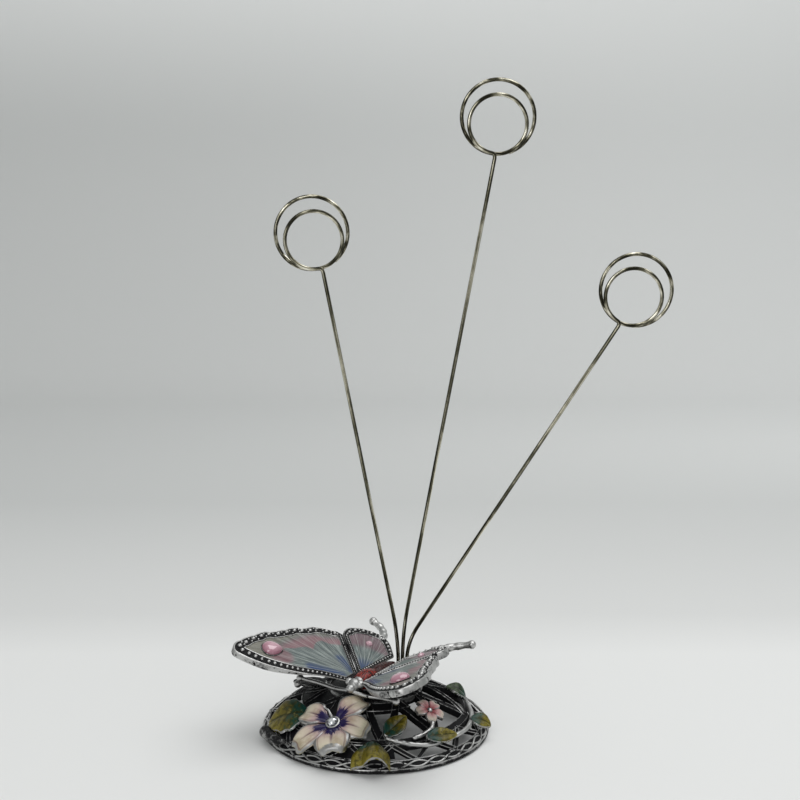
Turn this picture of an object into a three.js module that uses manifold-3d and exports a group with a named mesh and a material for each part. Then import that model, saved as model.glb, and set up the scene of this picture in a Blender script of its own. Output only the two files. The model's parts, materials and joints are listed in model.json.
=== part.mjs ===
import * as THREE from 'three';
import { mergeVertices } from 'three/addons/utils/BufferGeometryUtils.js';
import Module from 'manifold-3d';

// Note holder: an openwork cast dome with enamelled flowers and leaves, a butterfly on its
// crown, and three wire stems that each end in a two-turn spring clip.
// Millimetres and degrees. The origin is the centre of the foot on the table, +Z is up,
// -Y is the front.

// Fit between pieces that are soldered, glued or pressed together
const GAP = 0.3;

// Base casting
const BASE_RADIUS = 37.3;
const RIM_WIDTH = 2.6;
const RIM_HEIGHT = 2.2;
const RIM_LIP = 1.3;
const RIM_CHAMFER = 0.5;
const CROWN_HEIGHT = 16;
const DOME_WALL = 2;
const DOME_SIDES = 36;

// Openwork of the base: swirled ribs above a ring, struts in a zigzag below it
const CROWN_PLATE_RADIUS = 13.4;
const RING_INSET = 7.3;
const RING_WIDTH = 2;
const RIB_COUNT = 10;
const RIB_WIDTH = 2.4;
const RIB_SWIRL = 14;
const FIRST_RIB = -64;
const STRUT_PAIRS = 15;
const STRUT_WIDTH = 1.3;
const FIRST_STRUT = -69;
const CORNER_CUT = 0.14;

// Butterfly: its place, and the turn of its head to the front left
const BUTTERFLY = { x: -2, y: -7.3, aboveCrown: 2.7 };
const BUTTERFLY_YAW = 33.4;
const BODY_LIFT = 0.8;
const THORAX_RADIUS = 3.1;
const ABDOMEN_RADIUS = 2.4;
const HEAD_RADIUS = 2.2;
const ABDOMEN_LENGTH = 12.4;
const THORAX_LENGTH = 9.6;
const HEAD_LENGTH = 3.6;
const ABDOMEN_OUTLINE = [[0.36, 0.02], [0.82, 0.36], [1, 0.76], [0.8, 0.98]];
const THORAX_OUTLINE = [[0.8, 0.12], [1, 0.44], [0.86, 0.76]];
const HEAD_OUTLINE = [[0.8, 0], [1, 0.4], [0.74, 0.8]];
const EYE_RADIUS = 1.3;
const EYE_BACK = 2.4;
const EYE_OUT = 2.1;
const EYE_UP = 0.6;
const SNOUT_RADIUS = 1.4;
const SNOUT_DROP = 0.5;
const STUD_RADIUS = 1.5;
const PILLAR_WALL = 1.4;

// Wings
const WING_THICKNESS = 2.6;
const WING_DIHEDRAL = 22;
const BORDER_WIDTH = 3.2;
const SEAM_BORDER_WIDTH = 1.5;
const CELL_DEPTH = 0.9;
const ENAMEL_BELOW_RIM = 0.1;
const TAIL_RADIUS = 0.8;
const TAIL_BALL_RADIUS = 1.5;

// Wing outline, seen from above: forward along the body, and out from it
const WING_ROOT = [9, 2.6];
const LEADING_EDGE = [[13.8, 8.1], [21.4, 14.9], [27.6, 22.8]];
const WING_TIP = [[31, 30.8], [30.6, 34.2], [27, 36.3]];
const OUTER_MARGIN = [[20.6, 36.2], [14, 35.4], [9.7, 33.5], [3.2, 32], [-1.6, 29.5], [-5.6, 28.1]];
const FORE_CORNER = [-10.4, 22.6];
const NOTCH = [-11, 20];
const HIND_CORNER = [[-13.2, 21.4], [-16.8, 21.6], [-21.4, 18.7]];
const TAIL_ROOT = [[-24.2, 14.2], [-25, 11.6]];
const INNER_MARGIN = [[-22.8, 7.4]];
const INNER_CORNER = [-17.8, 2.2];
const CELL_SPLIT = [3.4, 2.6];
const TAIL_ROUTE = [[-23.2, 11.8], [-26.8, 12.9], [-29.6, 16.2], [-30.4, 20.2]];

// Stones
const CABOCHON_PLACE = [19.8, 26.6];
const CABOCHON_TURN = 38;
const CABOCHON_LENGTH = 6.8;
const CABOCHON_WIDTH = 6;
const CABOCHON_HEIGHT = 2.8;
const CABOCHON_TAPER = 0.3;
const CABOCHON_EDGE = 0.18;
const CRYSTAL_GIRDLE = 0.3;
const CRYSTAL_HEIGHT = 0.75;
const CRYSTAL_TABLE = 0.55;
const WING_STONE_PLACE = [-15.2, 11.6];
const WING_STONE_RADIUS = 1.2;

// Antennae
const ANTENNA_RADIUS = 0.65;
const ANTENNA_BALL_RADIUS = 1.25;
const ANTENNA_ROUTE = [[10.4, 0.8, -1.5], [9.8, 6, -2.1], [8.8, 12, -2.1], [9.4, 18.4, -1.7]];

// Flowers, leaves and vine on the dome: azimuth, and how far in from the rim
const PETAL_THICKNESS = 1.2;
const LEAF_THICKNESS = 1.2;
const PETAL_ROOT = 0.12;
const PETAL_ARCH = 0.14;
const PETAL_CUP = 0.06;
const HUB_RISE = 0.07;
const HUB_COLLAR = 0.6;
const PETAL_WIDEST = 0.58;
const PETAL_NECK = 0.06;
const PETAL_ROUNDING = 0.2;
const PETAL_NOTCH = 0.07;
const PETAL_TIP_LIFT = 0.16;
const LARGE_FLOWER = {
  azimuth: -119,
  inset: 10.9,
  petals: [-92, -14, 44, 144, 214],
  lifted: [0, 4],
  length: 11.4,
  width: 11,
  cells: [5, 4],
  stoneRadius: 1.75,
};
const SMALL_FLOWER = {
  azimuth: -45,
  inset: 13.9,
  petals: [-80, -8, 64, 136, 208],
  lifted: [],
  length: 4,
  width: 3.8,
  cells: [3, 2],
  stoneRadius: 0.9,
};
const LEAF_POINT = 0.85;
const LEAF_FULLNESS = 0.8;
const LEAF_END = 0.1;
const LEAF_CUP = 0.5;
const HOOD_WIDENING = 1.5;
const HOOD_CREST = 0.62;
const LEAVES = [
  { name: 'left_leaf', azimuth: -157, inset: 7, heading: 10, length: 13.6, width: 9.6, curl: 1.2 },
  {
    name: 'front_leaf', azimuth: -92.5, inset: 3.6, heading: 0,
    length: 9.4, width: 12, cup: 0, curl: 1.6, hood: 3.2,
  },
  { name: 'middle_leaf', azimuth: -76, inset: 11.9, heading: 130, length: 11, width: 6.6 },
  { name: 'upper_leaf', azimuth: 8, inset: 10.9, heading: 170, length: 8, width: 4.6 },
];
const LEAVES_OVER_VINE = [
  { name: 'vine_leaf', azimuth: -52, inset: 5.5, heading: 78, length: 11.4, width: 5.6 },
  { name: 'rim_leaf', azimuth: -18, inset: 3.3, heading: 20, length: 7.4, width: 5, curl: 1.6 },
];
const LEAF_TIP_SHARE = 0.4;
const RIM_BUD = { inset: 1.2, heading: 30, length: 5, width: 4.4, curl: 1 };
const VINE_RADIUS = 0.75;
const VINE_ROUTE = [
  [-83, 7.9], [-76, 6.7], [-68, 5.5], [-58, 4.7], [-40, 4.7], [-26, 4.9], [-12, 6.1], [2, 7.9],
];
const BRANCH_ROUTE = [[-67, 7.4], [-60, 7.9], [-53, 9]];

// Spring wire: stems and clips
const WIRE_DIAMETER = 1.05;
const WIRE_SPACING = 1.4;
const SOCKET = { x: 9, y: 8 };
const SOCKET_WALL = 1;
const SOCKET_FLOOR = 1;
const SOCKET_HEIGHT = 4.3;
const SEAT_BELOW_CROWN = 2.8;
const COLLAR_HEIGHT = 1.4;
const FRONT_TURN_RADIUS = 9.35;
const BACK_TURN_RADIUS = 11.75;
const TURN_PITCH = 1.55;
const RING_LEAN = 6;
const CORNER_BEND = 1.6;
const BACK_TURN_SWEEP = 338;
const LEFT_CLIP_HEIGHT = 150.8;
const MIDDLE_CLIP_HEIGHT = 186.9;
const RIGHT_CLIP_HEIGHT = 133.1;
const LEFT_CLIP_REACH = -17.2;
const MIDDLE_CLIP_REACH = 38.1;
const RIGHT_CLIP_REACH = 79.3;
const STEMS = [
  {
    name: 'left', slot: -1, bendAboveSeat: 13.8, bendLeg: 9,
    reach: LEFT_CLIP_REACH, height: LEFT_CLIP_HEIGHT,
  },
  {
    name: 'middle', slot: 0, bendAboveSeat: 15.8, bendLeg: 10,
    reach: MIDDLE_CLIP_REACH, height: MIDDLE_CLIP_HEIGHT,
  },
  {
    name: 'right', slot: 1, bendAboveSeat: 12.4, bendLeg: 7,
    reach: RIGHT_CLIP_REACH, height: RIGHT_CLIP_HEIGHT,
  },
];

// Facets
const WIRE_SIDES = 8;
const TURN_STEPS = 25;
const ROD_SIDES = 8;
const ROD_STEPS = 4;
const BODY_SIDES = 12;
const BALL_SIDES = 8;
const HUB_SIDES = 12;
const CABOCHON_SIDES = 18;
const CABOCHON_STEPS = 5;
const CRYSTAL_SIDES = 8;
const LEAF_CELLS = [7, 4];

const rad = THREE.MathUtils.degToRad;
const wasm = await Module();
wasm.setup();

// Closed bodies, cuts and joins

function closedBody(geometry) {
  const bare = geometry.clone();
  bare.deleteAttribute('normal');
  bare.deleteAttribute('uv');
  const merged = mergeVertices(bare, 1e-4);
  const corners = merged.index.array;
  const kept = [];
  for (let i = 0; i < corners.length; i += 3) {
    const [a, b, c] = [corners[i], corners[i + 1], corners[i + 2]];
    if (a !== b && b !== c && c !== a) kept.push(a, b, c);
  }
  merged.setIndex(kept);
  return signedVolume(merged) < 0 ? turnedOut(merged) : merged;
}

function signedVolume(geometry) {
  const place = geometry.attributes.position;
  const corner = [new THREE.Vector3(), new THREE.Vector3(), new THREE.Vector3()];
  let volume = 0;
  for (let i = 0; i < geometry.index.count; i += 3) {
    corner.forEach((point, k) => point.fromBufferAttribute(place, geometry.index.getX(i + k)));
    volume += corner[0].dot(corner[1].cross(corner[2])) / 6;
  }
  return volume;
}

function turnedOut(geometry) {
  const corners = Array.from(geometry.index.array);
  for (let i = 0; i < corners.length; i += 3) {
    [corners[i + 1], corners[i + 2]] = [corners[i + 2], corners[i + 1]];
  }
  geometry.setIndex(corners);
  return geometry;
}

function toSolid(geometry) {
  const body = closedBody(geometry);
  return new wasm.Manifold(new wasm.Mesh({
    numProp: 3,
    vertProperties: Float32Array.from(body.attributes.position.array),
    triVerts: Uint32Array.from(body.index.array),
  }));
}

function toGeometry(solid) {
  const mesh = solid.getMesh();
  const geometry = new THREE.BufferGeometry();
  geometry.setAttribute('position', new THREE.BufferAttribute(mesh.vertProperties, 3));
  geometry.setIndex(new THREE.BufferAttribute(mesh.triVerts, 1));
  return geometry;
}

function cut(geometry, tools) {
  return toGeometry(tools.reduce((solid, tool) => solid.subtract(toSolid(tool)), toSolid(geometry)));
}

function join(geometry, others) {
  return toGeometry(others.reduce((solid, other) => solid.add(toSolid(other)), toSolid(geometry)));
}

// Shapes shared by several pieces

function revolved(profile, sides) {
  const points = profile.map(([radius, height]) => new THREE.Vector2(radius, height));
  return new THREE.LatheGeometry(points, sides).rotateX(Math.PI / 2);
}

function upright(radius, bottom, top, sides = 16) {
  const height = top - bottom;
  const column = new THREE.CylinderGeometry(radius, radius, height, sides).rotateX(Math.PI / 2);
  return column.translate(0, 0, bottom + height / 2);
}

function prism(points, bottom, top) {
  const shape = new THREE.Shape(points);
  const body = new THREE.ExtrudeGeometry(shape, { depth: top - bottom, bevelEnabled: false });
  return body.translate(0, 0, bottom);
}

function roundSection(radius, sides) {
  const points = [];
  for (let i = 0; i < sides; i += 1) {
    const turn = (2 * Math.PI * i) / sides;
    points.push(new THREE.Vector2(radius * Math.cos(turn), radius * Math.sin(turn)));
  }
  return new THREE.Shape(points);
}

function rod(route, steps, radius, sides) {
  const sweep = { extrudePath: route, steps, bevelEnabled: false };
  return new THREE.ExtrudeGeometry(roundSection(radius, sides), sweep);
}

function ball(radius) {
  return new THREE.SphereGeometry(radius, BALL_SIDES, BALL_SIDES - 2);
}

// A rod through the points, and the ball on its end
function ballRod(points, radius, ballRadius) {
  const end = points.at(-1);
  const curve = new THREE.CatmullRomCurve3(points);
  const shaft = rod(curve, ROD_STEPS * (points.length - 1), radius, ROD_SIDES);
  return [shaft, ball(ballRadius).translate(end.x, end.y, end.z)];
}

// The outline drawn in by the distance at each of its points, which run anticlockwise
function drawnIn(points, distanceAt) {
  const flat = points.map((point) => new THREE.Vector2(point.x, point.y));
  return flat.map((point, i) => {
    const before = flat[(i + flat.length - 1) % flat.length];
    const after = flat[(i + 1) % flat.length];
    const arriving = point.clone().sub(before).normalize();
    const leaving = after.clone().sub(point).normalize();
    const inward = new THREE.Vector2(-arriving.y - leaving.y, arriving.x + leaving.x).normalize();
    const share = Math.max(0.5, inward.dot(new THREE.Vector2(-arriving.y, arriving.x)));
    return point.clone().addScaledVector(inward, distanceAt(points[i]) / share);
  });
}

function anticlockwise(points) {
  return THREE.ShapeUtils.isClockWise(points) ? points.slice().reverse() : points;
}

function polar(azimuth, radius) {
  return new THREE.Vector2(radius * Math.cos(rad(azimuth)), radius * Math.sin(rad(azimuth)));
}

// A plate between an upper and a lower skin, on a grid of cells
function plate(cellsAlong, cellsAcross, place) {
  const points = [];
  const corners = [];
  const rows = cellsAlong + 1;
  const columns = cellsAcross + 1;
  for (const side of [0, 1]) {
    for (let i = 0; i < rows; i += 1) {
      for (let j = 0; j < columns; j += 1) {
        points.push(...place(i / cellsAlong, (2 * j) / cellsAcross - 1, side).toArray());
      }
    }
  }
  const at = (side, i, j) => side * rows * columns + i * columns + j;
  const quad = (a, b, c, d) => corners.push(a, b, c, a, c, d);
  for (let i = 0; i < cellsAlong; i += 1) {
    for (let j = 0; j < cellsAcross; j += 1) {
      quad(at(1, i, j), at(1, i + 1, j), at(1, i + 1, j + 1), at(1, i, j + 1));
      quad(at(0, i, j), at(0, i, j + 1), at(0, i + 1, j + 1), at(0, i + 1, j));
    }
    quad(at(0, i, 0), at(0, i + 1, 0), at(1, i + 1, 0), at(1, i, 0));
    quad(at(0, i + 1, cellsAcross), at(0, i, cellsAcross), at(1, i, cellsAcross), at(1, i + 1, cellsAcross));
  }
  for (let j = 0; j < cellsAcross; j += 1) {
    quad(at(0, 0, j + 1), at(0, 0, j), at(1, 0, j), at(1, 0, j + 1));
    quad(at(0, cellsAlong, j), at(0, cellsAlong, j + 1), at(1, cellsAlong, j + 1), at(1, cellsAlong, j));
  }
  const geometry = new THREE.BufferGeometry();
  geometry.setAttribute('position', new THREE.Float32BufferAttribute(points, 3));
  geometry.setIndex(corners);
  return geometry;
}

// Materials

function finish(color, roughness, metalness) {
  return () => new THREE.MeshStandardMaterial({ color, roughness, metalness });
}

const pewter = finish(0x6f7073, 0.38, 0.9);
const leafEnamel = finish(0x8b8632, 0.35, 0);
const petalEnamel = finish(0xd8c9b4, 0.3, 0);
const pinkEnamel = finish(0xe0b4b4, 0.3, 0);
const wingEnamel = finish(0xa3aaa8, 0.25, 0.1);
const redEnamel = finish(0xa92a20, 0.25, 0);
const pinkStone = finish(0xe59ab0, 0.08, 0);
const clearStone = finish(0xe9edf2, 0.05, 0);
const springSteel = finish(0x8d8474, 0.3, 1);

function piece(name, geometry, material) {
  const mesh = new THREE.Mesh(closedBody(geometry), material());
  mesh.name = name;
  return mesh;
}

// Base casting

const SHOULDER_RADIUS = BASE_RADIUS - RIM_LIP;
const FOOT_INNER_RADIUS = BASE_RADIUS - RIM_WIDTH;
const RING_RADIUS = BASE_RADIUS - RING_INSET;
const DOME_RISE = CROWN_HEIGHT - RIM_HEIGHT;
const DOME_RADIUS = (SHOULDER_RADIUS ** 2 + DOME_RISE ** 2) / (2 * DOME_RISE);
const DOME_CENTRE = CROWN_HEIGHT - DOME_RADIUS;
const BUTTERFLY_HEIGHT = CROWN_HEIGHT + BUTTERFLY.aboveCrown;
const BELLY_HEIGHT = BUTTERFLY_HEIGHT + BODY_LIFT - THORAX_RADIUS;

function domeHeight(radius, sphere = DOME_RADIUS) {
  return DOME_CENTRE + Math.sqrt(sphere ** 2 - radius ** 2);
}

function baseProfile() {
  const innerSteps = 4;
  const outerSteps = 6;
  const profile = [];
  for (let i = 0; i <= innerSteps; i += 1) {
    const radius = (FOOT_INNER_RADIUS * i) / innerSteps;
    profile.push([radius, domeHeight(radius, DOME_RADIUS - DOME_WALL)]);
  }
  profile.push([FOOT_INNER_RADIUS, 0]);
  profile.push([BASE_RADIUS - RIM_CHAMFER, 0]);
  profile.push([BASE_RADIUS, RIM_CHAMFER]);
  profile.push([BASE_RADIUS, RIM_HEIGHT - RIM_CHAMFER]);
  profile.push([BASE_RADIUS - RIM_CHAMFER, RIM_HEIGHT]);
  for (let i = outerSteps; i >= 0; i -= 1) {
    const radius = (SHOULDER_RADIUS * i) / outerSteps;
    profile.push([radius, domeHeight(radius)]);
  }
  return profile;
}

// A window with softened corners; its edges run evenly in azimuth and radius
function windowOutline(corners, margin) {
  const points = [];
  corners.forEach(([azimuth, radius], i) => {
    const [nextAzimuth, nextRadius] = corners[(i + 1) % corners.length];
    points.push(polar(azimuth, radius));
    points.push(polar((azimuth + nextAzimuth) / 2, (radius + nextRadius) / 2));
  });
  return softCorners(drawnIn(points, () => margin));
}

function softCorners(points) {
  const soft = [];
  for (let i = 0; i < points.length; i += 2) {
    const corner = points[i];
    const before = points[(i + points.length - 1) % points.length];
    const after = points[i + 1];
    soft.push(corner.clone().lerp(before, 2 * CORNER_CUT));
    soft.push(corner.clone().lerp(after, 2 * CORNER_CUT), after);
  }
  return soft;
}

function windows() {
  const inner = CROWN_PLATE_RADIUS;
  const outer = RING_RADIUS - RING_WIDTH / 2;
  const sector = 360 / RIB_COUNT;
  const outlines = [];
  for (let k = 0; k < RIB_COUNT; k += 1) {
    const here = FIRST_RIB + k * sector;
    const next = here + sector;
    const low = [here + RIB_SWIRL, outer];
    const lowNext = [next + RIB_SWIRL, outer];
    outlines.push(windowOutline([low, [next, inner], [here, inner]], RIB_WIDTH / 2));
    outlines.push(windowOutline([low, lowNext, [next, inner]], RIB_WIDTH / 2));
  }
  const ringOuter = RING_RADIUS + RING_WIDTH / 2;
  const span = 360 / STRUT_PAIRS;
  for (let k = 0; k < STRUT_PAIRS; k += 1) {
    const foot = [FIRST_STRUT + k * span, FOOT_INNER_RADIUS];
    const nextFoot = [foot[0] + span, FOOT_INNER_RADIUS];
    const head = [foot[0] - span / 2, ringOuter];
    const nextHead = [foot[0] + span / 2, ringOuter];
    outlines.push(windowOutline([head, foot, nextHead], STRUT_WIDTH / 2));
    outlines.push(windowOutline([foot, nextFoot, nextHead], STRUT_WIDTH / 2));
  }
  return outlines;
}

function baseCasting() {
  const dome = revolved(baseProfile(), DOME_SIDES);
  const openings = windows().map((outline) => prism(outline, -RIM_HEIGHT, 2 * CROWN_HEIGHT));
  const pillarRadius = STUD_RADIUS + GAP + PILLAR_WALL;
  const pillarFoot = CROWN_HEIGHT - 1.5 * DOME_WALL;
  const pillar = upright(pillarRadius, pillarFoot, BELLY_HEIGHT - GAP);
  pillar.translate(BUTTERFLY.x, BUTTERFLY.y, 0);
  const collarRadius = SOCKET_OUTER + GAP + SOCKET_WALL;
  const collar = prism(stadium(collarRadius), SOCKET_SEAT - DOME_WALL, SOCKET_SEAT + COLLAR_HEIGHT);
  const pocket = prism(stadium(SOCKET_OUTER + GAP), SOCKET_SEAT, 2 * CROWN_HEIGHT);
  [collar, pocket].forEach((form) => form.translate(SOCKET.x, SOCKET.y, 0));
  const studHole = upright(STUD_RADIUS + GAP, 0, 2 * CROWN_HEIGHT).translate(BUTTERFLY.x, BUTTERFLY.y, 0);
  const solid = join(cut(dome, openings), [pillar, collar]);
  return piece('base_casting', cut(solid, [studHole, pocket]), pewter);
}

// Wire socket and wires

const WIRE_RADIUS = WIRE_DIAMETER / 2;
const SOCKET_BORE = WIRE_RADIUS + GAP;
const SOCKET_OUTER = SOCKET_BORE + SOCKET_WALL;
const SOCKET_SEAT = CROWN_HEIGHT - SEAT_BELOW_CROWN;

// An oval round the three wires that stand in a row
function stadium(radius) {
  const shape = new THREE.Shape();
  shape.absarc(WIRE_SPACING, 0, radius, -Math.PI / 2, Math.PI / 2);
  shape.absarc(-WIRE_SPACING, 0, radius, Math.PI / 2, (3 * Math.PI) / 2);
  const points = shape.getPoints(5);
  return points.filter((point, i) => i === 0 || point.distanceTo(points[i - 1]) > 1e-6);
}

function wireSocket() {
  const bottom = SOCKET_SEAT + GAP;
  const top = bottom + SOCKET_HEIGHT;
  const sleeve = prism(stadium(SOCKET_OUTER), bottom, top);
  const bore = prism(stadium(SOCKET_BORE), bottom + SOCKET_FLOOR, top + SOCKET_HEIGHT);
  const socket = piece('wire_socket', cut(sleeve, [bore]), pewter);
  socket.position.set(SOCKET.x, SOCKET.y, 0);
  return socket;
}

// A route in stretches, each with its own count of steps
class Route extends THREE.Curve {
  constructor(stretches) {
    super();
    this.stretches = stretches;
    this.steps = stretches.reduce((sum, stretch) => sum + stretch.steps, 0);
  }

  getPoint(t, target = new THREE.Vector3()) {
    let station = t * this.steps;
    let stretch = this.stretches[0];
    for (const candidate of this.stretches) {
      stretch = candidate;
      if (station <= candidate.steps) break;
      station -= candidate.steps;
    }
    return target.copy(stretch.at(Math.min(1, station / stretch.steps)));
  }

  getUtoTmapping(u) {
    return u;
  }
}

// The clip's own directions: up along the stem, leaned, and right across it
function clipFrame(stem) {
  const x = SOCKET.x + stem.slot * WIRE_SPACING;
  const corner = new THREE.Vector3(x, SOCKET.y, SOCKET_SEAT + stem.bendAboveSeat);
  const joint = new THREE.Vector3(stem.reach, SOCKET.y, stem.height);
  const along = joint.clone().sub(corner).normalize();
  const up = along.clone().applyAxisAngle(new THREE.Vector3(0, 1, 0), -rad(RING_LEAN));
  const right = new THREE.Vector3(up.z, 0, -up.x);
  return { corner, joint, along, up, right };
}

// A point of the clip: the turn starts at the joint and runs up the left side
function turnPoint(frame, radius, degrees) {
  const turn = rad(degrees);
  const point = frame.joint.clone().addScaledVector(frame.up, radius * (1 - Math.cos(turn)));
  point.addScaledVector(frame.right, -radius * Math.sin(turn));
  point.y += (TURN_PITCH * degrees) / 360;
  return point;
}

function frontRoute(stem) {
  const frame = clipFrame(stem);
  const foot = frame.corner.clone().setZ(SOCKET_SEAT + GAP + SOCKET_FLOOR + GAP);
  const bendStart = frame.corner.clone();
  bendStart.z -= stem.bendLeg;
  const bendEnd = frame.corner.clone().addScaledVector(frame.along, stem.bendLeg);
  const cornerStart = frame.joint.clone().addScaledVector(frame.along, -CORNER_BEND);
  const firstDegrees = THREE.MathUtils.radToDeg(CORNER_BEND / FRONT_TURN_RADIUS);
  const lastDegrees = 360 - THREE.MathUtils.radToDeg(GAP / 2 / FRONT_TURN_RADIUS);
  const cornerEnd = turnPoint(frame, FRONT_TURN_RADIUS, firstDegrees);
  const foundation = new THREE.LineCurve3(foot, bendStart);
  const bend = new THREE.QuadraticBezierCurve3(bendStart, frame.corner, bendEnd);
  const straight = new THREE.LineCurve3(bendEnd, cornerStart);
  const elbow = new THREE.QuadraticBezierCurve3(cornerStart, frame.joint, cornerEnd);
  return new Route([
    { steps: 1, at: (t) => foundation.getPoint(t) },
    { steps: 6, at: (t) => bend.getPoint(t) },
    { steps: 3, at: (t) => straight.getPoint(t) },
    { steps: 5, at: (t) => elbow.getPoint(t) },
    {
      steps: TURN_STEPS,
      at: (t) => turnPoint(frame, FRONT_TURN_RADIUS, THREE.MathUtils.lerp(firstDegrees, lastDegrees, t)),
    },
  ]);
}

function backRoute(stem) {
  const frame = clipFrame(stem);
  const firstDegrees = 360 + THREE.MathUtils.radToDeg(GAP / 2 / BACK_TURN_RADIUS);
  const lastDegrees = 360 + BACK_TURN_SWEEP;
  return new Route([
    {
      steps: TURN_STEPS,
      at: (t) => turnPoint(frame, BACK_TURN_RADIUS, THREE.MathUtils.lerp(firstDegrees, lastDegrees, t)),
    },
  ]);
}

// The least clear distance of a wire to itself, over points that aren't neighbours along it
function leastGap(routes) {
  const spacing = 0.5;
  const apart = 3 * WIRE_DIAMETER;
  const stations = [];
  let length = 0;
  for (const route of routes) {
    const points = Array.from({ length: 1201 }, (unused, i) => route.getPoint(i / 1200));
    points.forEach((point, i) => {
      if (i > 0) length += point.distanceTo(points[i - 1]);
      const last = stations.at(-1);
      if (!last || length - last.length >= spacing / 5) stations.push({ point, length });
    });
  }
  let least = Infinity;
  for (const a of stations) {
    for (const b of stations) {
      if (b.length - a.length > apart) least = Math.min(least, a.point.distanceTo(b.point));
    }
  }
  return least - WIRE_DIAMETER;
}

function clips() {
  const wires = [];
  for (const stem of STEMS) {
    const front = frontRoute(stem);
    const back = backRoute(stem);
    const wire = (route) => rod(route, route.steps, WIRE_RADIUS, WIRE_SIDES);
    wires.push(piece(`${stem.name}_stem_and_front_turn`, wire(front), springSteel));
    wires.push(piece(`${stem.name}_back_turn`, wire(back), springSteel));
    console.log(`${stem.name} clip wire, least gap to itself: ${leastGap([front, back]).toFixed(2)} mm`);
  }
  return wires;
}

// Butterfly

const BODY_WAIST = -THORAX_LENGTH / 4;
const BODY_NECK = BODY_WAIST + THORAX_LENGTH;
const BODY_TAIL = BODY_WAIST - ABDOMEN_LENGTH;
const BODY_NOSE = BODY_NECK + HEAD_LENGTH;

// Half the outline of the body, from the tip of the abdomen to the nose, swollen by a margin
function bodyProfile(margin) {
  const stretch = (outline, radius, start, length) => outline.map(([wide, along]) => {
    return [radius * wide + margin, start + length * along];
  });
  return [
    [0, BODY_TAIL - margin],
    ...stretch(ABDOMEN_OUTLINE, ABDOMEN_RADIUS, BODY_TAIL, ABDOMEN_LENGTH),
    ...stretch(THORAX_OUTLINE, THORAX_RADIUS, BODY_WAIST, THORAX_LENGTH),
    ...stretch(HEAD_OUTLINE, HEAD_RADIUS, BODY_NECK, HEAD_LENGTH),
    [0, BODY_NOSE + margin],
  ];
}

function bodyForm(margin) {
  return revolved(bodyProfile(margin), BODY_SIDES).rotateY(Math.PI / 2).translate(0, 0, BODY_LIFT);
}

// The eyes, and the round snout below and before them
function headBalls(margin) {
  const eyes = [-1, 1].map((side) => {
    const eye = ball(EYE_RADIUS + margin);
    return eye.translate(BODY_NOSE - EYE_BACK, side * EYE_OUT, BODY_LIFT + EYE_UP);
  });
  const snout = ball(SNOUT_RADIUS + margin).translate(BODY_NOSE, 0, BODY_LIFT - SNOUT_DROP);
  return [...eyes, snout];
}

function butterflyBody() {
  const studBottom = -DOME_WALL - BUTTERFLY.aboveCrown;
  const stud = upright(STUD_RADIUS, studBottom, BODY_LIFT);
  return piece('butterfly_body', join(bodyForm(0), [...headBalls(0), stud]), redEnamel);
}

function antenna(name, side) {
  const points = ANTENNA_ROUTE.map(([forward, out, up]) => {
    return new THREE.Vector3(forward, side * out, up + BODY_LIFT);
  });
  const [feeler, tip] = ballRod(points, ANTENNA_RADIUS, ANTENNA_BALL_RADIUS);
  return piece(name, cut(join(feeler, [tip]), [bodyForm(GAP), ...headBalls(GAP)]), pewter);
}

function smooth(start, between, end, steps) {
  const points = [start, ...between, end].map(([x, y]) => new THREE.Vector2(x, y));
  return new THREE.SplineCurve(points).getPoints(steps);
}

// The points of an outline's stretch; z carries the width of the wing's border there
function bordered(points, width) {
  return points.map(({ x, y }, i) => new THREE.Vector3(x, y, width(i)));
}

// Outlines of the fore and hind part of a wing, and of the whole wing
function wingOutlines() {
  const wide = () => BORDER_WIDTH;
  const narrow = () => SEAM_BORDER_WIDTH;
  const growing = (i) => Math.min(BORDER_WIDTH, SEAM_BORDER_WIDTH + i / 2);
  const lead = bordered(smooth(WING_ROOT, LEADING_EDGE, WING_TIP[0], 8), growing);
  const tip = bordered(WING_TIP.slice(1).map(([x, y]) => ({ x, y })), wide);
  const margin = bordered(smooth(WING_TIP.at(-1), OUTER_MARGIN, FORE_CORNER, 14).slice(1), wide);
  const [notch, split] = bordered([NOTCH, CELL_SPLIT].map(([x, y]) => ({ x, y })), narrow);
  const hind = bordered(smooth(NOTCH, HIND_CORNER, TAIL_ROOT[0], 8).slice(1), wide);
  const inner = bordered(smooth(TAIL_ROOT[1], INNER_MARGIN, INNER_CORNER, 4), wide);
  return {
    fore: [...lead, ...tip, ...margin, notch, split],
    hind: [notch, ...hind, ...inner, split],
    whole: [...lead, ...tip, ...margin, notch, ...hind, ...inner],
  };
}

function onSide(points, side) {
  return anticlockwise(points.map(({ x, y, z }) => new THREE.Vector3(x, side * y, z)));
}

// From a wing's own plane to the butterfly: raised to its dihedral
function wingSeat(side) {
  return new THREE.Matrix4().makeRotationX(side * rad(WING_DIHEDRAL));
}

const WING_TOP = WING_THICKNESS / 2;
const CELL_FLOOR = WING_TOP - CELL_DEPTH;
const ENAMEL_TOP = WING_TOP - ENAMEL_BELOW_RIM;

function wingTail(side) {
  const points = TAIL_ROUTE.map(([x, y]) => new THREE.Vector3(x, side * y, 0));
  return ballRod(points, TAIL_RADIUS, TAIL_BALL_RADIUS);
}

function wing(name, side) {
  const outlines = wingOutlines();
  const slab = prism(onSide(outlines.whole, side), -WING_TOP, WING_TOP);
  const cells = [outlines.fore, outlines.hind].map((outline) => {
    const cell = drawnIn(onSide(outline, side), (point) => point.z);
    return prism(cell, CELL_FLOOR, 2 * WING_THICKNESS);
  });
  const toWing = wingSeat(side).invert();
  const room = [bodyForm(GAP), ...headBalls(GAP)].map((form) => form.applyMatrix4(toWing));
  return piece(name, cut(join(slab, wingTail(side)), [...cells, ...room]), pewter);
}

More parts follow.
